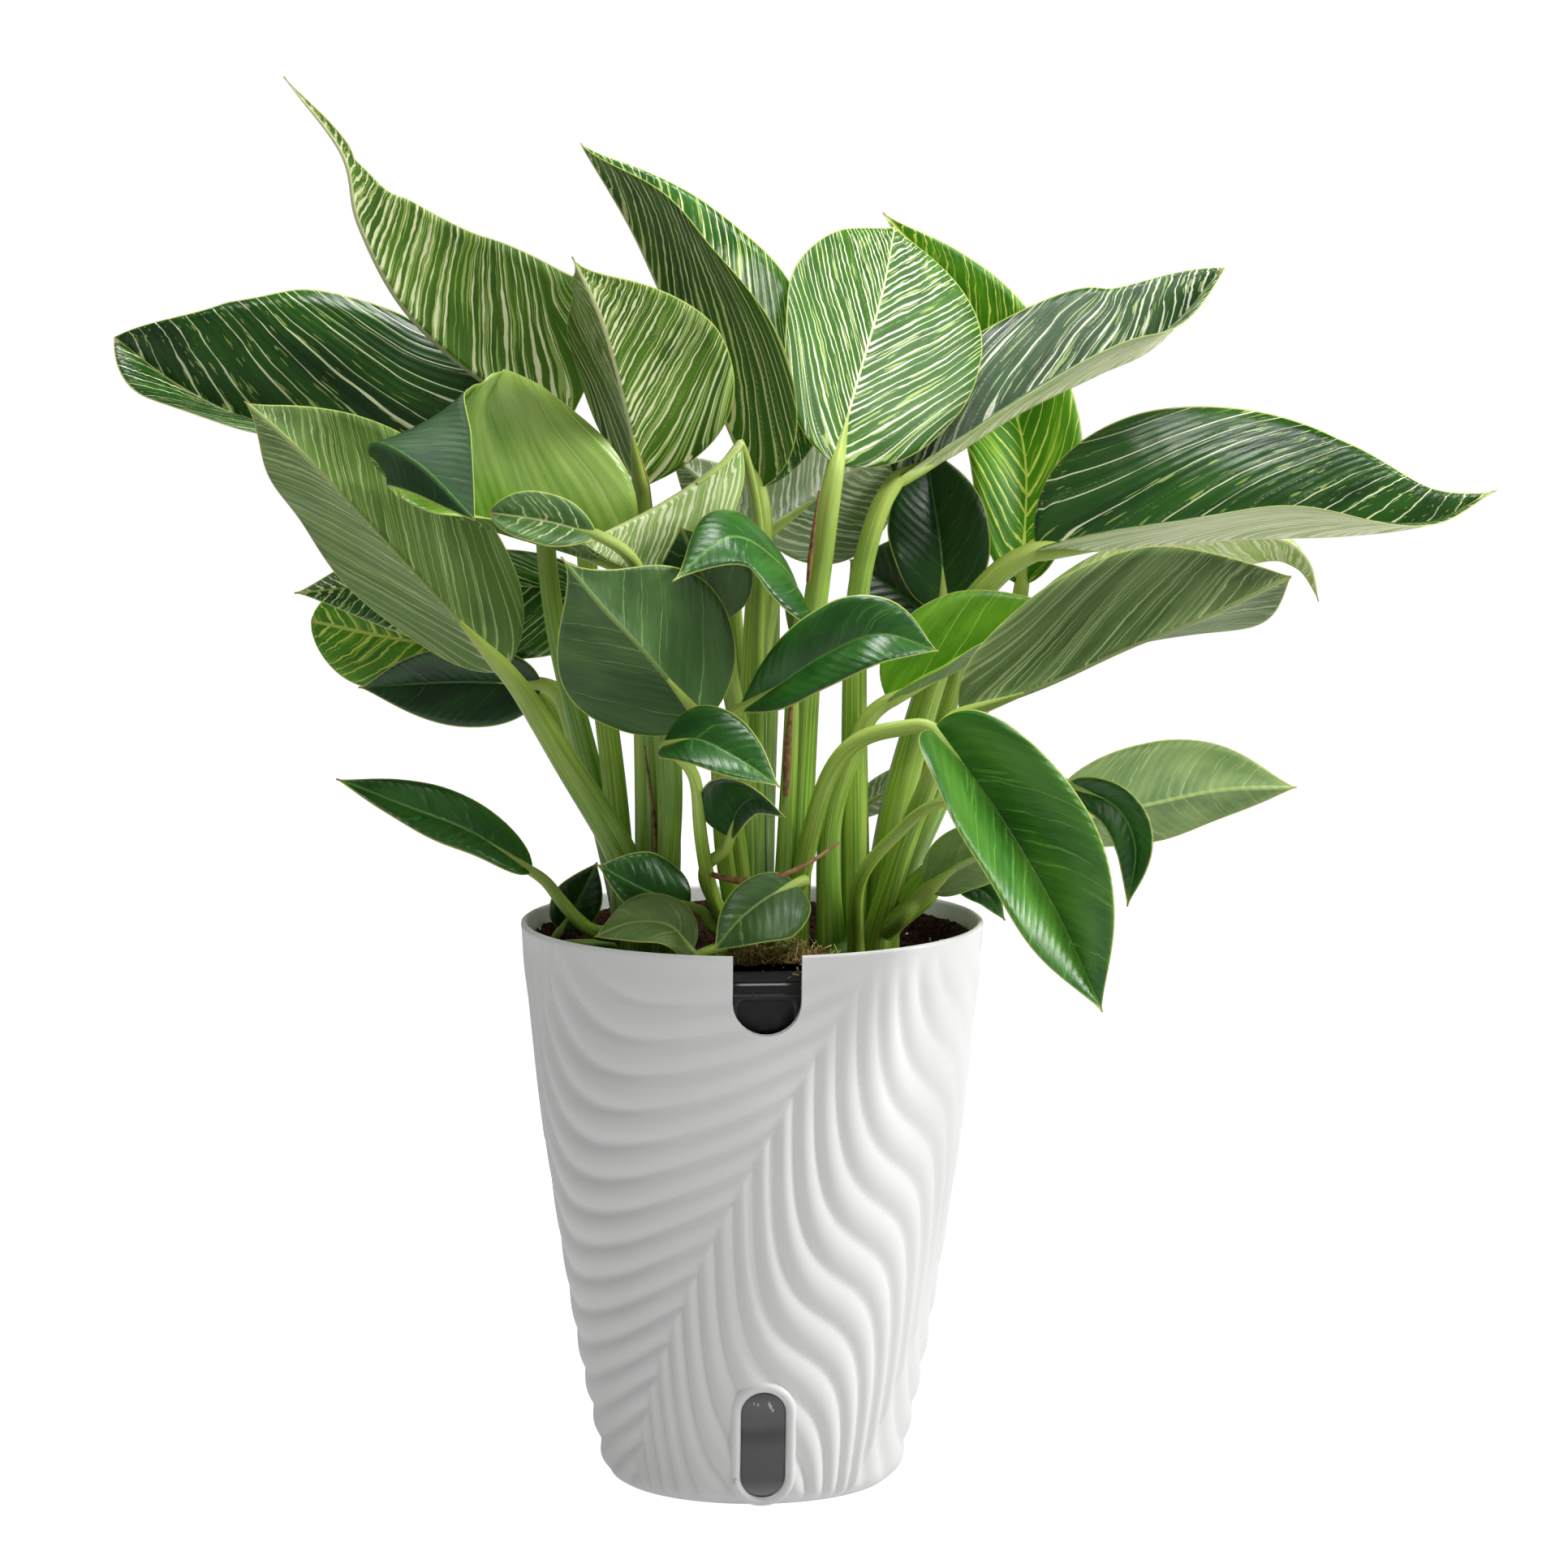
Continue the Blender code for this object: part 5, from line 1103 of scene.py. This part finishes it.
def cut(piece, outline, front, back):
    """Cut a piece by an upright outline of x and z pairs, right through the pot's front."""
    count = len(outline)
    points = [(x * MM, y * MM, z * MM) for y in (front, back) for x, z in outline]
    faces = [tuple(range(count)), tuple(range(2 * count - 1, count - 1, -1))]
    faces += [(k, count + k, count + (k + 1) % count, (k + 1) % count) for k in range(count)]
    tool = outward(show("cutter", mesh_of("cutter", points, [], faces, {})))
    tool.data.materials.append(piece.data.materials[0])
    change = piece.modifiers.new("cut", "BOOLEAN")
    change.operation = "DIFFERENCE"
    change.solver = "MANIFOLD"
    change.object = tool
    as_plain(piece)
    bpy.data.objects.remove(tool)


def wall_front(x, z):
    """How far forward the pot's front wall stands at a point, as a y in millimetres."""
    heights, radii = zip(*POT_PROFILE)
    return -math.sqrt(float(np.interp(z, heights, radii)) ** 2 - x * x)


def one_piece(name, pieces):
    """Make one mesh of several, keeping each one's materials."""
    cage = bmesh.new()
    skins = []
    for piece in pieces:
        start = len(cage.faces)
        cage.from_mesh(piece.data)
        cage.faces.ensure_lookup_table()
        skins += [skin for skin in piece.data.materials if skin not in skins]
        places = [skins.index(skin) for skin in piece.data.materials]
        for face in cage.faces[start:]:
            face.material_index = places[min(face.material_index, len(places) - 1)]
        bpy.data.objects.remove(piece)
    mesh = mesh_from(cage, name)
    for skin in skins:
        mesh.materials.append(skin)
    return show(name, mesh)


def wave_pot(tree, tubes, skin):
    """The white pot with its waves, notch, slot and the rounded bead round the slot."""
    rows, outer = wall_rows()
    pot = turned("wave_pot_wall", rows, outer, skin, tree, POT_COLUMNS)
    notch = half_round(NOTCH_WIDTH, NOTCH_BOTTOM + NOTCH_WIDTH / 2, 180)
    notch += [(NOTCH_WIDTH / 2, POT_HEIGHT + 9), (-NOTCH_WIDTH / 2, POT_HEIGHT + 9)]
    cut(pot, notch, *NOTCH_CUT)
    cut(pot, oval(WINDOW_WIDTH, WINDOW_BOTTOM, WINDOW_TOP), *WINDOW_CUT)
    grow = WINDOW_BEAD * 0.8
    path = oval(WINDOW_WIDTH + 2 * grow, WINDOW_BOTTOM - grow, WINDOW_TOP + grow)
    path = [(x, wall_front(x, z) + 0.2, z) for x, z in path]
    path += path[:2]
    line = line_mesh("window_bead", np.array(path) * MM, thickness=[WINDOW_BEAD] * len(path))
    bead = grown("window_bead", line, tubes, {"Material": skin, "Groove": 0.0})
    return one_piece("wave_pot", [pot, bead])


def water_window(skin, glint_skin):
    """The pane in its slot, bent with the wall, with a few drops under its top."""
    outline = np.array(oval(WINDOW_WIDTH - 2 * PANE_GAP, WINDOW_BOTTOM + PANE_GAP, WINDOW_TOP - PANE_GAP))
    centre = np.array((0, (WINDOW_BOTTOM + WINDOW_TOP) / 2))
    cage = bmesh.new()
    sides = []
    for depth, sign in ((PANE_FRONT, 1), (PANE_BACK, -1)):
        rings = []
        for share in PANE_RINGS:
            spots = centre + (outline - centre) * share
            bevel = sign * 0.5 * share ** 10
            rings.append([cage.verts.new((x * MM, (depth + bevel + wall_front(x, z)) * MM, z * MM))
                          for x, z in spots])
        sides.append(rings)
    bands = [pair for rings in sides for pair in zip(rings, rings[1:])]
    bands.append((sides[0][-1], sides[1][-1]))
    count = len(outline)
    for first, second in bands:
        for k in range(count):
            following = (k + 1) % count
            cage.faces.new((first[k], first[following], second[following], second[k]))
    pane_faces = len(cage.faces)
    for x, z, size in DROPS:
        drop = bmesh.ops.create_uvsphere(cage, u_segments=12, v_segments=8, radius=size * MM)
        place = Matrix.Translation((x * MM, (wall_front(x, z) + PANE_FRONT) * MM, z * MM))
        bmesh.ops.transform(cage, matrix=place @ Matrix.Diagonal(DROP_SHAPE), verts=drop["verts"])
    cage.faces.ensure_lookup_table()
    # The drops take the second skin, whose near white colour is a painted glint
    for face in cage.faces[pane_faces:]:
        face.material_index = 1
    mesh = mesh_from(cage, "window_pane")
    mesh.materials.append(skin)
    mesh.materials.append(glint_skin)
    pane = outward(show("window_pane", mesh))
    pane.data.shade_smooth()
    return pane


def flatten_front(piece, foot, depth_at):
    """Press a turned piece's front flat above a height, at the depth that depth_at says."""
    for vertex in piece.data.vertices:
        x, y, z = vertex.co / MM
        depth = depth_at(math.hypot(x, y), z)
        if z > foot and y < -depth:
            vertex.co.y = -depth * MM


def liner(tree, skin):
    """The black inner pot: a thin shell with a rolled lip, and the ribbed panel behind the notch."""
    rows = swapped(LINER_PROFILE + LINER_INSIDE)
    dense = []
    for (r0, h0), (r1, h1) in zip(rows, rows[1:]):
        steps = max(1, round(abs(h1 - h0) / 6))
        dense += [(r0 + (r1 - r0) * k / steps, h0 + (h1 - h0) * k / steps) for k in range(steps)]
    dense.append(rows[-1])
    shell = turned("liner_shell", dense, [0] * len(dense), skin, tree, LINER_COLUMNS)
    heights, middles = zip(*LINER_MIDDLE)

    def depth_at(radius, z):
        """The panel's front for the wall's outer points, and its back for the inner ones."""
        outside = radius > float(np.interp(z, heights, middles))
        return PANEL_DISTANCE if outside else PANEL_DISTANCE - PANEL_THICKNESS

    flatten_front(shell, PANEL_FOOT - 2, depth_at)
    outward(shell)
    shell.data.shade_smooth()
    return one_piece("liner", [shell, liner_panel(skin)])


def liner_panel(skin):
    """The moulded panel that shows in the notch: a lip, a ledge, a band and a hollow below, with painted
    highlights along the ledge, the band and the hollow's edge.
    """
    x, z = np.meshgrid(np.linspace(-14.5, 14.5, 59), np.linspace(160, 194.6, 140))

    def soft_step(amount, softness):
        return 1 / (1 + np.exp(amount / softness))

    def line_at(distance, width):
        return np.exp(-(distance / width) ** 2)

    lip = 0.9 * soft_step(LIP_LEVEL - z, 0.12)
    ledge = np.interp(z, *LEDGE)
    band = 0.5 * line_at(z - BAND_LEVEL, 0.6)
    corner = np.hypot(np.maximum(np.abs(x) - HOLLOW_HALF, 0), np.maximum(z - HOLLOW_TOP, 0))
    hollow = -0.8 * soft_step(corner - HOLLOW_CORNER, 0.25)
    front = -(PANEL_DISTANCE + 0.55) - lip - ledge - band - hollow
    # Painted highlights: a light grey line along the ledge under the lip, and faint ones along the band
    # and round the hollow's edge
    painted_highlight = 0.9 * line_at(z - 190.55, 0.3) * soft_step(np.abs(x + 1) - 8.5, 0.5)
    painted_highlight += 0.06 * line_at(z - BAND_LEVEL, 0.8) + 0.05 * line_at(corner - 3.2, 0.5)
    back = np.full(x.shape, 0.3 - PANEL_DISTANCE)
    turn = np.array(Matrix.Rotation(-VIEW_TURN, 3, "Z"))
    faces = [np.stack((x, y, z), -1) @ turn.T for y in (front, back)]
    return sheet_mesh("liner_panel", *faces, {"painted_highlight": painted_highlight}, [skin])


def soil_tree():
    """Lumps on a body's top, and loose grains and bits of perlite scattered over it."""
    tree, n, given = piece_tree("soil grains", ["Material", "Perlite"], SOIL_GRAINS)
    normal = n.add("ShaderNodeSeparateXYZ", {0: n.add("GeometryNodeInputNormal")}, output=2)
    top = n.maths("GREATER_THAN", normal, 0.5)
    place = n.add("GeometryNodeInputPosition")
    lumps = n.noise(n.scaled(place, n.over(1 / MM, given["Lump size"])), 1.0, 4.0)
    rise = n.times(n.minus(lumps, 0.55), n.times(given["Lump height"], 2 * MM))
    ground = smoothed(n, moved(n, given["Geometry"], Selection=top, Offset=n.vector(0.0, 0.0, rise)))
    parts = [skinned(n, stored(n, ground, "tone", 0.0), given["Material"])]
    for density, size, seed, stuff in (("Grains per square metre", 1.0, 1, "Material"),
                                       ("Perlite per square metre", 1.7, 2, "Perlite")):
        spots = n.add("GeometryNodeDistributePointsOnFaces",
                      {"Mesh": ground, "Selection": top, "Density": given[density],
                       "Seed": n.plus(given["Seed"], seed)})
        radius = n.times(given["Grain size"], size * MM / 2)
        grain = n.add("GeometryNodeMeshIcoSphere", {"Radius": radius, "Subdivisions": 1})
        bits = n.add("GeometryNodeInstanceOnPoints",
                     {"Points": spots, "Instance": grain,
                      "Rotation": random_vector(n, (0.0, 0.0, 0.0), (6.28, 6.28, 6.28)),
                      "Scale": random_vector(n, (0.4, 0.5, 0.3), (1.7, 1.3, 1.0))})
        bits = stored(n, bits, "tone", random_number(n, 0.0, 1.0, seed), "INSTANCE")
        parts.append(skinned(n, n.add("GeometryNodeRealizeInstances", {0: bits}), given[stuff]))
    end_tree(n, joined(n, parts))
    return tree


def soil_bed(tree, skin, pale):
    """Potting soil that fills the inner pot, heaped at its edge, with its loose grains."""
    rows = [(0, SOIL_PROFILE[0][0])] + swapped(SOIL_PROFILE[1:-2] + HEAPED_EDGE)
    inwards = [1 - k / SOIL_RINGS for k in range(SOIL_RINGS + 1)]
    rows += [(SOIL_RADIUS * share, SOIL_TOP + 0.5 * share) for share in inwards]
    body = turned("soil_body", rows, [0] * len(rows), skin, tree, SOIL_COLUMNS)
    flatten_front(body, PANEL_FOOT, lambda radius, z: PANEL_DISTANCE - 1.9)
    mesh = body.data.copy()
    bpy.data.objects.remove(body)
    return grown("soil_bed", mesh, soil_tree(), {"Material": skin, "Perlite": pale})


def moss_tree():
    """Lumps on a mound, grown over with curved strands."""
    tree, n, given = piece_tree("moss strands", ["Material"], MOSS_STRANDS)
    place = n.add("GeometryNodeInputPosition")
    lumps = n.noise(n.scaled(place, 160.0), 1.0, 3.0)
    push = n.scaled(n.add("GeometryNodeInputNormal"), n.times(n.minus(lumps, 0.5), 4 * MM))
    mound = smoothed(n, moved(n, given["Geometry"], Offset=push))
    spots = n.add("GeometryNodeDistributePointsOnFaces",
                  {"Mesh": mound, "Density": given["Strands per square metre"], "Seed": given["Seed"]})
    length = n.times(given["Strand length"], MM)
    middle = n.vector(n.times(length, 0.35), 0.0, n.times(length, 0.6))
    end = n.vector(length, n.times(length, 0.2), n.times(length, 0.45))
    bent = n.add("GeometryNodeCurveQuadraticBezier",
                 {"Resolution": 4, "Start": (0.0, 0.0, 0.0), "Middle": middle, "End": end})
    ring = n.add("GeometryNodeCurvePrimitiveCircle",
                 {"Resolution": 3, "Radius": n.times(given["Strand width"], MM / 2)})
    strand = n.add("GeometryNodeCurveToMesh", {"Curve": bent, "Profile Curve": ring})
    strands = n.add("GeometryNodeInstanceOnPoints",
                    {"Points": spots, "Instance": strand, "Rotation": spots.node.outputs["Rotation"],
                     "Scale": random_number(n, 0.35, 1.25, 3)})
    spin = random_vector(n, (-0.7, -0.7, 0.0), (0.7, 0.7, 6.28))
    strands = n.add("GeometryNodeRotateInstances", {"Instances": strands, "Rotation": spin})
    patch = n.between(n.noise(n.scaled(place, 130.0), 1.0), 0.35, 0.65, 0.12, 0.45)
    tone = n.plus(n.times(random_number(n, 0.0, 1.0, 5), 0.55), patch)
    # The mound takes tone 0, the darkest, as painted shade beneath the strands
    parts = [stored(n, mound, "tone", 0.0), stored(n, strands, "tone", tone, "INSTANCE")]
    end_tree(n, joined(n, parts), given["Material"])
    return tree


def ball(name, place, size, fineness, lowest=-1.0):
    """The mesh of a ball drawn out to a size in millimetres, about a place in metres."""
    cage = bmesh.new()
    bmesh.ops.create_icosphere(cage, subdivisions=fineness, radius=1)
    for vertex in cage.verts:
        vertex.co.z = max(vertex.co.z, lowest)
    stretch = Matrix.Diagonal((size[0] * MM, size[1] * MM, size[2] * MM, 1))
    cage.transform(Matrix.Translation(place) @ stretch)
    return mesh_from(cage, name)


def moss_tuft(skin):
    """A cushion of moss at the notch."""
    place = (MOSS_CENTRE[0] * MM, MOSS_CENTRE[1] * MM, (SOIL_TOP + 0.6) * MM)
    mound = ball("moss_mound", place, MOSS_MOUND, 4, -0.06)
    return grown("moss_tuft", mound, moss_tree(), {"Material": skin})


# Stalks

# Leaves whose stalks are red along one side
RED_STALKS = ("leaf_round_centre", "leaf_upper_left")


def stalk_line(leaf, points=44, under_points=7):
    """A stalk's middle line from the soil to its blade and on under the blade as its midrib."""
    leaf = {**leaf, **STALK_ROUTES.get(leaf["name"], {})}
    x, y, radius = CROWNS[leaf["crown"]]
    crown = np.array((x, y))
    foot_radius, end_radius = leaf["stalk_radii"]
    through = [from_view(point) for point in leaf["stalk"]]
    lean = through[0][:2] - crown
    reach = unit(lean) * min(np.linalg.norm(lean), max(radius - 0.8 * foot_radius, 3))
    low = min(STALK_START, max(through[0][2] - 1, SOIL_TOP + 0.3 + foot_radius))
    foot = np.array((*(crown + reach), low))
    root = np.array((*(crown + reach * 0.9), SOIL_TOP - 3))
    rib = smooth_path([from_view(point) for point in leaf["rib"]])
    first = rib[0] - leaf["approach"] * unit(rib[3] - rib[0])
    body = smooth_path([root, foot] + through + [first, rib[0]])
    way = along_path(body, np.linspace(0, 1, points))
    for _ in range(12):
        way[1:-1] = 0.5 * way[1:-1] + 0.25 * (way[:-2] + way[2:])
    upper = leaf_spine(leaf, 40)[3]
    length = path_length(rib)
    run_on = min(26.0, 0.3 * length)
    under = along_path(rib, np.linspace(0.02, run_on / length, under_points))
    under = under - np.array(upper[0]) * np.linspace(0.2, 1.0, under_points)[:, None] * 0.7
    share = np.concatenate((np.linspace(0, 1, points), np.ones(under_points)))
    stalk_length = path_length(body)
    thick = foot_radius + (end_radius - foot_radius) * share
    thick *= 1 + 0.22 * np.exp(-(share * stalk_length / 14) ** 2)
    thick[points:] = np.linspace(end_radius * 0.92, 0.7, under_points)
    thick[:points] *= 0.92 + 0.08 * np.clip(stalk_length * (1 - share[:points]) / 14, 0, 1)
    return np.concatenate((way, under)), thick, share


# Old sheaths: points across, up and back in the view, and radii at the start, a quarter and the end
DRIED_SHEATHS = (
    dict(way=((-16, 216, -44), (-6, 213.5, -50), (6, 214, -52), (19, 219, -47), (31, 227, -38)),
         radii=(1.0, 1.3, 0.5)),
    dict(way=((12, 244, -22), (13, 266, -25), (15.5, 291, -30)), radii=(1.0, 1.5, 0.3)),
    dict(way=((20, 321, -10), (21.5, 336, -11.5), (24, 354, -12.5)), radii=(0.7, 1.0, 0.3)),
    dict(way=((-34, 214, -14), (-35.5, 236, -15), (-39, 262, -20)), radii=(0.8, 1.0, 0.3)),
)


def crown_stalks(name, leaves, tubes, skin, extras):
    """All the stalks of one crown, and the low mound of sheaths that they grow from."""
    points, edges, facts = [], [], {"thickness": [], "share": [], "red": [], "seed": []}
    for leaf in leaves:
        line, thick, share = stalk_line(leaf)
        edges += [(len(points) + k, len(points) + k + 1) for k in range(len(line) - 1)]
        points += list(to_part(line))
        facts["thickness"] += list(thick)
        facts["share"] += list(share)
        facts["red"] += [0.9 if leaf["name"] in RED_STALKS else 0.0] * len(line)
        facts["seed"] += [leaf["seed"]] * len(line)
    name = "stalks_" + name
    stalks = grown(name, mesh_of(name, points, edges, [], facts), tubes, {"Material": skin})
    x, y, radius = CROWNS[leaves[0]["crown"]]
    mound = ball("mound", to_part((x, y, SOIL_TOP - 2)), (radius * 0.95, radius * 0.95, 9), 3)
    mound.materials.append(skin)
    mound.shade_smooth()
    return one_piece(name, [stalks, show("mound", mound), *extras])


def dried_sheaths(tubes, skin):
    """Brown strands left of old sheaths."""
    share = np.linspace(0, 1, 16)
    pieces = []
    for strand in DRIED_SHEATHS:
        way = along_path(smooth_path([from_view(point) for point in strand["way"]]), share)
        thickness = np.interp(share, (0, 0.25, 1), strand["radii"])
        line = line_mesh("sheath", to_part(way), thickness=thickness)
        pieces.append(grown("sheath", line, tubes, {"Material": skin, "Sides": 8, "Groove": 0.4}))
    return pieces


# Studio

# The floor's own light on the plant, and how bright it shows
FLOOR_GLOW = 0.38
FLOOR_SHOWN = 0.94
FLOOR_RADIUS = 40.0
ROOM_LIGHT = 0.17
# Each light's name, place, aim, size and watts
LIGHTS = (
    ("key", (1.5, -0.25, 0.9), (0, 0, 0.2), (0.35, 0.8), 20),
    ("top", (0.0, 0.1, 1.55), (0, 0, 0.34), (0.8, 0.5), 17),
    ("front", (0.55, -0.85, 1.5), (0, 0, 0.34), (0.4, 0.25), 8),
)


def soft_light(name, place, aim, size, watts):
    """A flat light at a place, turned to shine at another."""
    light = bpy.data.lights.new(name, "AREA")
    light.shape = "RECTANGLE"
    light.size, light.size_y = size
    light.energy = watts
    made = show(name, light)
    made.location = place
    made.rotation_euler = (Vector(aim) - Vector(place)).to_track_quat("-Z", "Y").to_euler()


def studio():
    """A pale floor, a white room and soft lights, with the camera at the photograph's angle."""
    scene = bpy.context.scene
    scene.view_settings.view_transform = "Standard"
    world = bpy.data.worlds.new("white_room")
    scene.world = world
    world.use_nodes = True
    room = world.node_tree.nodes["Background"]
    room.inputs["Color"].default_value = (1, 1, 1, 1)
    room.inputs["Strength"].default_value = ROOM_LIGHT
    for name, place, aim, size, watts in LIGHTS:
        soft_light(name, place, aim, size, watts)
    cage = bmesh.new()
    bmesh.ops.create_circle(cage, cap_ends=True, segments=64, radius=FLOOR_RADIUS)
    mesh = mesh_from(cage, "floor")
    paint, n = material("white_floor", {
        "Roughness": 0.8, "Specular IOR Level": 0.0, "Base Color": (0.35, 0.35, 0.35, 1),
        "Emission Color": (1, 1, 1, 1)})
    seen = n.add("ShaderNodeLightPath", output="Is Camera Ray")
    n.put("Emission Strength", n.between(seen, 0.0, 1.0, FLOOR_GLOW, FLOOR_SHOWN))
    mesh.materials.append(paint)
    show("floor", mesh)
    camera = bpy.data.cameras.new("camera")
    camera.lens = CAMERA_LENS
    camera.sensor_width = 36
    camera.clip_end = 100
    view = show("camera", camera)
    view.location = CAMERA_PLACE
    view.rotation_euler = (math.radians(90) - VIEW_TILT, 0, VIEW_TURN)
    scene.camera = view


def stand_in(piece, slot, *nodes):
    """Let a piece ride with the pot in place of its solids, and hide them."""
    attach(piece, "root")
    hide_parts(*nodes)


def main():
    """Build the studio, then the pot from outside in, the leaves and the stalks."""
    studio()
    wall, tubes = turned_wall_tree(), tube_tree()
    stand_in(wave_pot(wall, tubes, white_plastic()), "white_plastic", "outer_pot")
    stand_in(water_window(clear_plastic(), drops_painted_glint()), "clear_plastic", "water_window")
    stand_in(liner(wall, black_plastic()), "black_plastic", "inner_pot")
    stand_in(soil_bed(wall, potting_soil(), perlite()), "soil", "soil")
    stand_in(moss_tuft(moss_strands()), "moss", "moss")
    faces = {name: leaf_face(name, look) for name, look in FACES.items()}
    faces["dark_pointed"] = leaf_face("dark_pointed", FACES["olive"], FACES["deep"])
    for k, leaf in enumerate(LEAVES):
        leaf["seed"] = 1.7 * k + 0.5
        sides = OWN_SIDES.get(leaf["name"], SIDES[leaf["look"]])
        blade = leaf_blade(leaf, [faces[side] for side in sides])
        stand_in(blade, "leaf_" + leaf["look"], leaf["name"])
    green = stalk_skin()
    for name in CROWNS:
        own = [leaf for leaf in LEAVES if leaf["crown"] == name]
        extras = dried_sheaths(tubes, dry_sheath()) if name == "middle" else []
        stand_in(crown_stalks(name, own, tubes, green, extras), "stalks", "crown_" + name)


main()
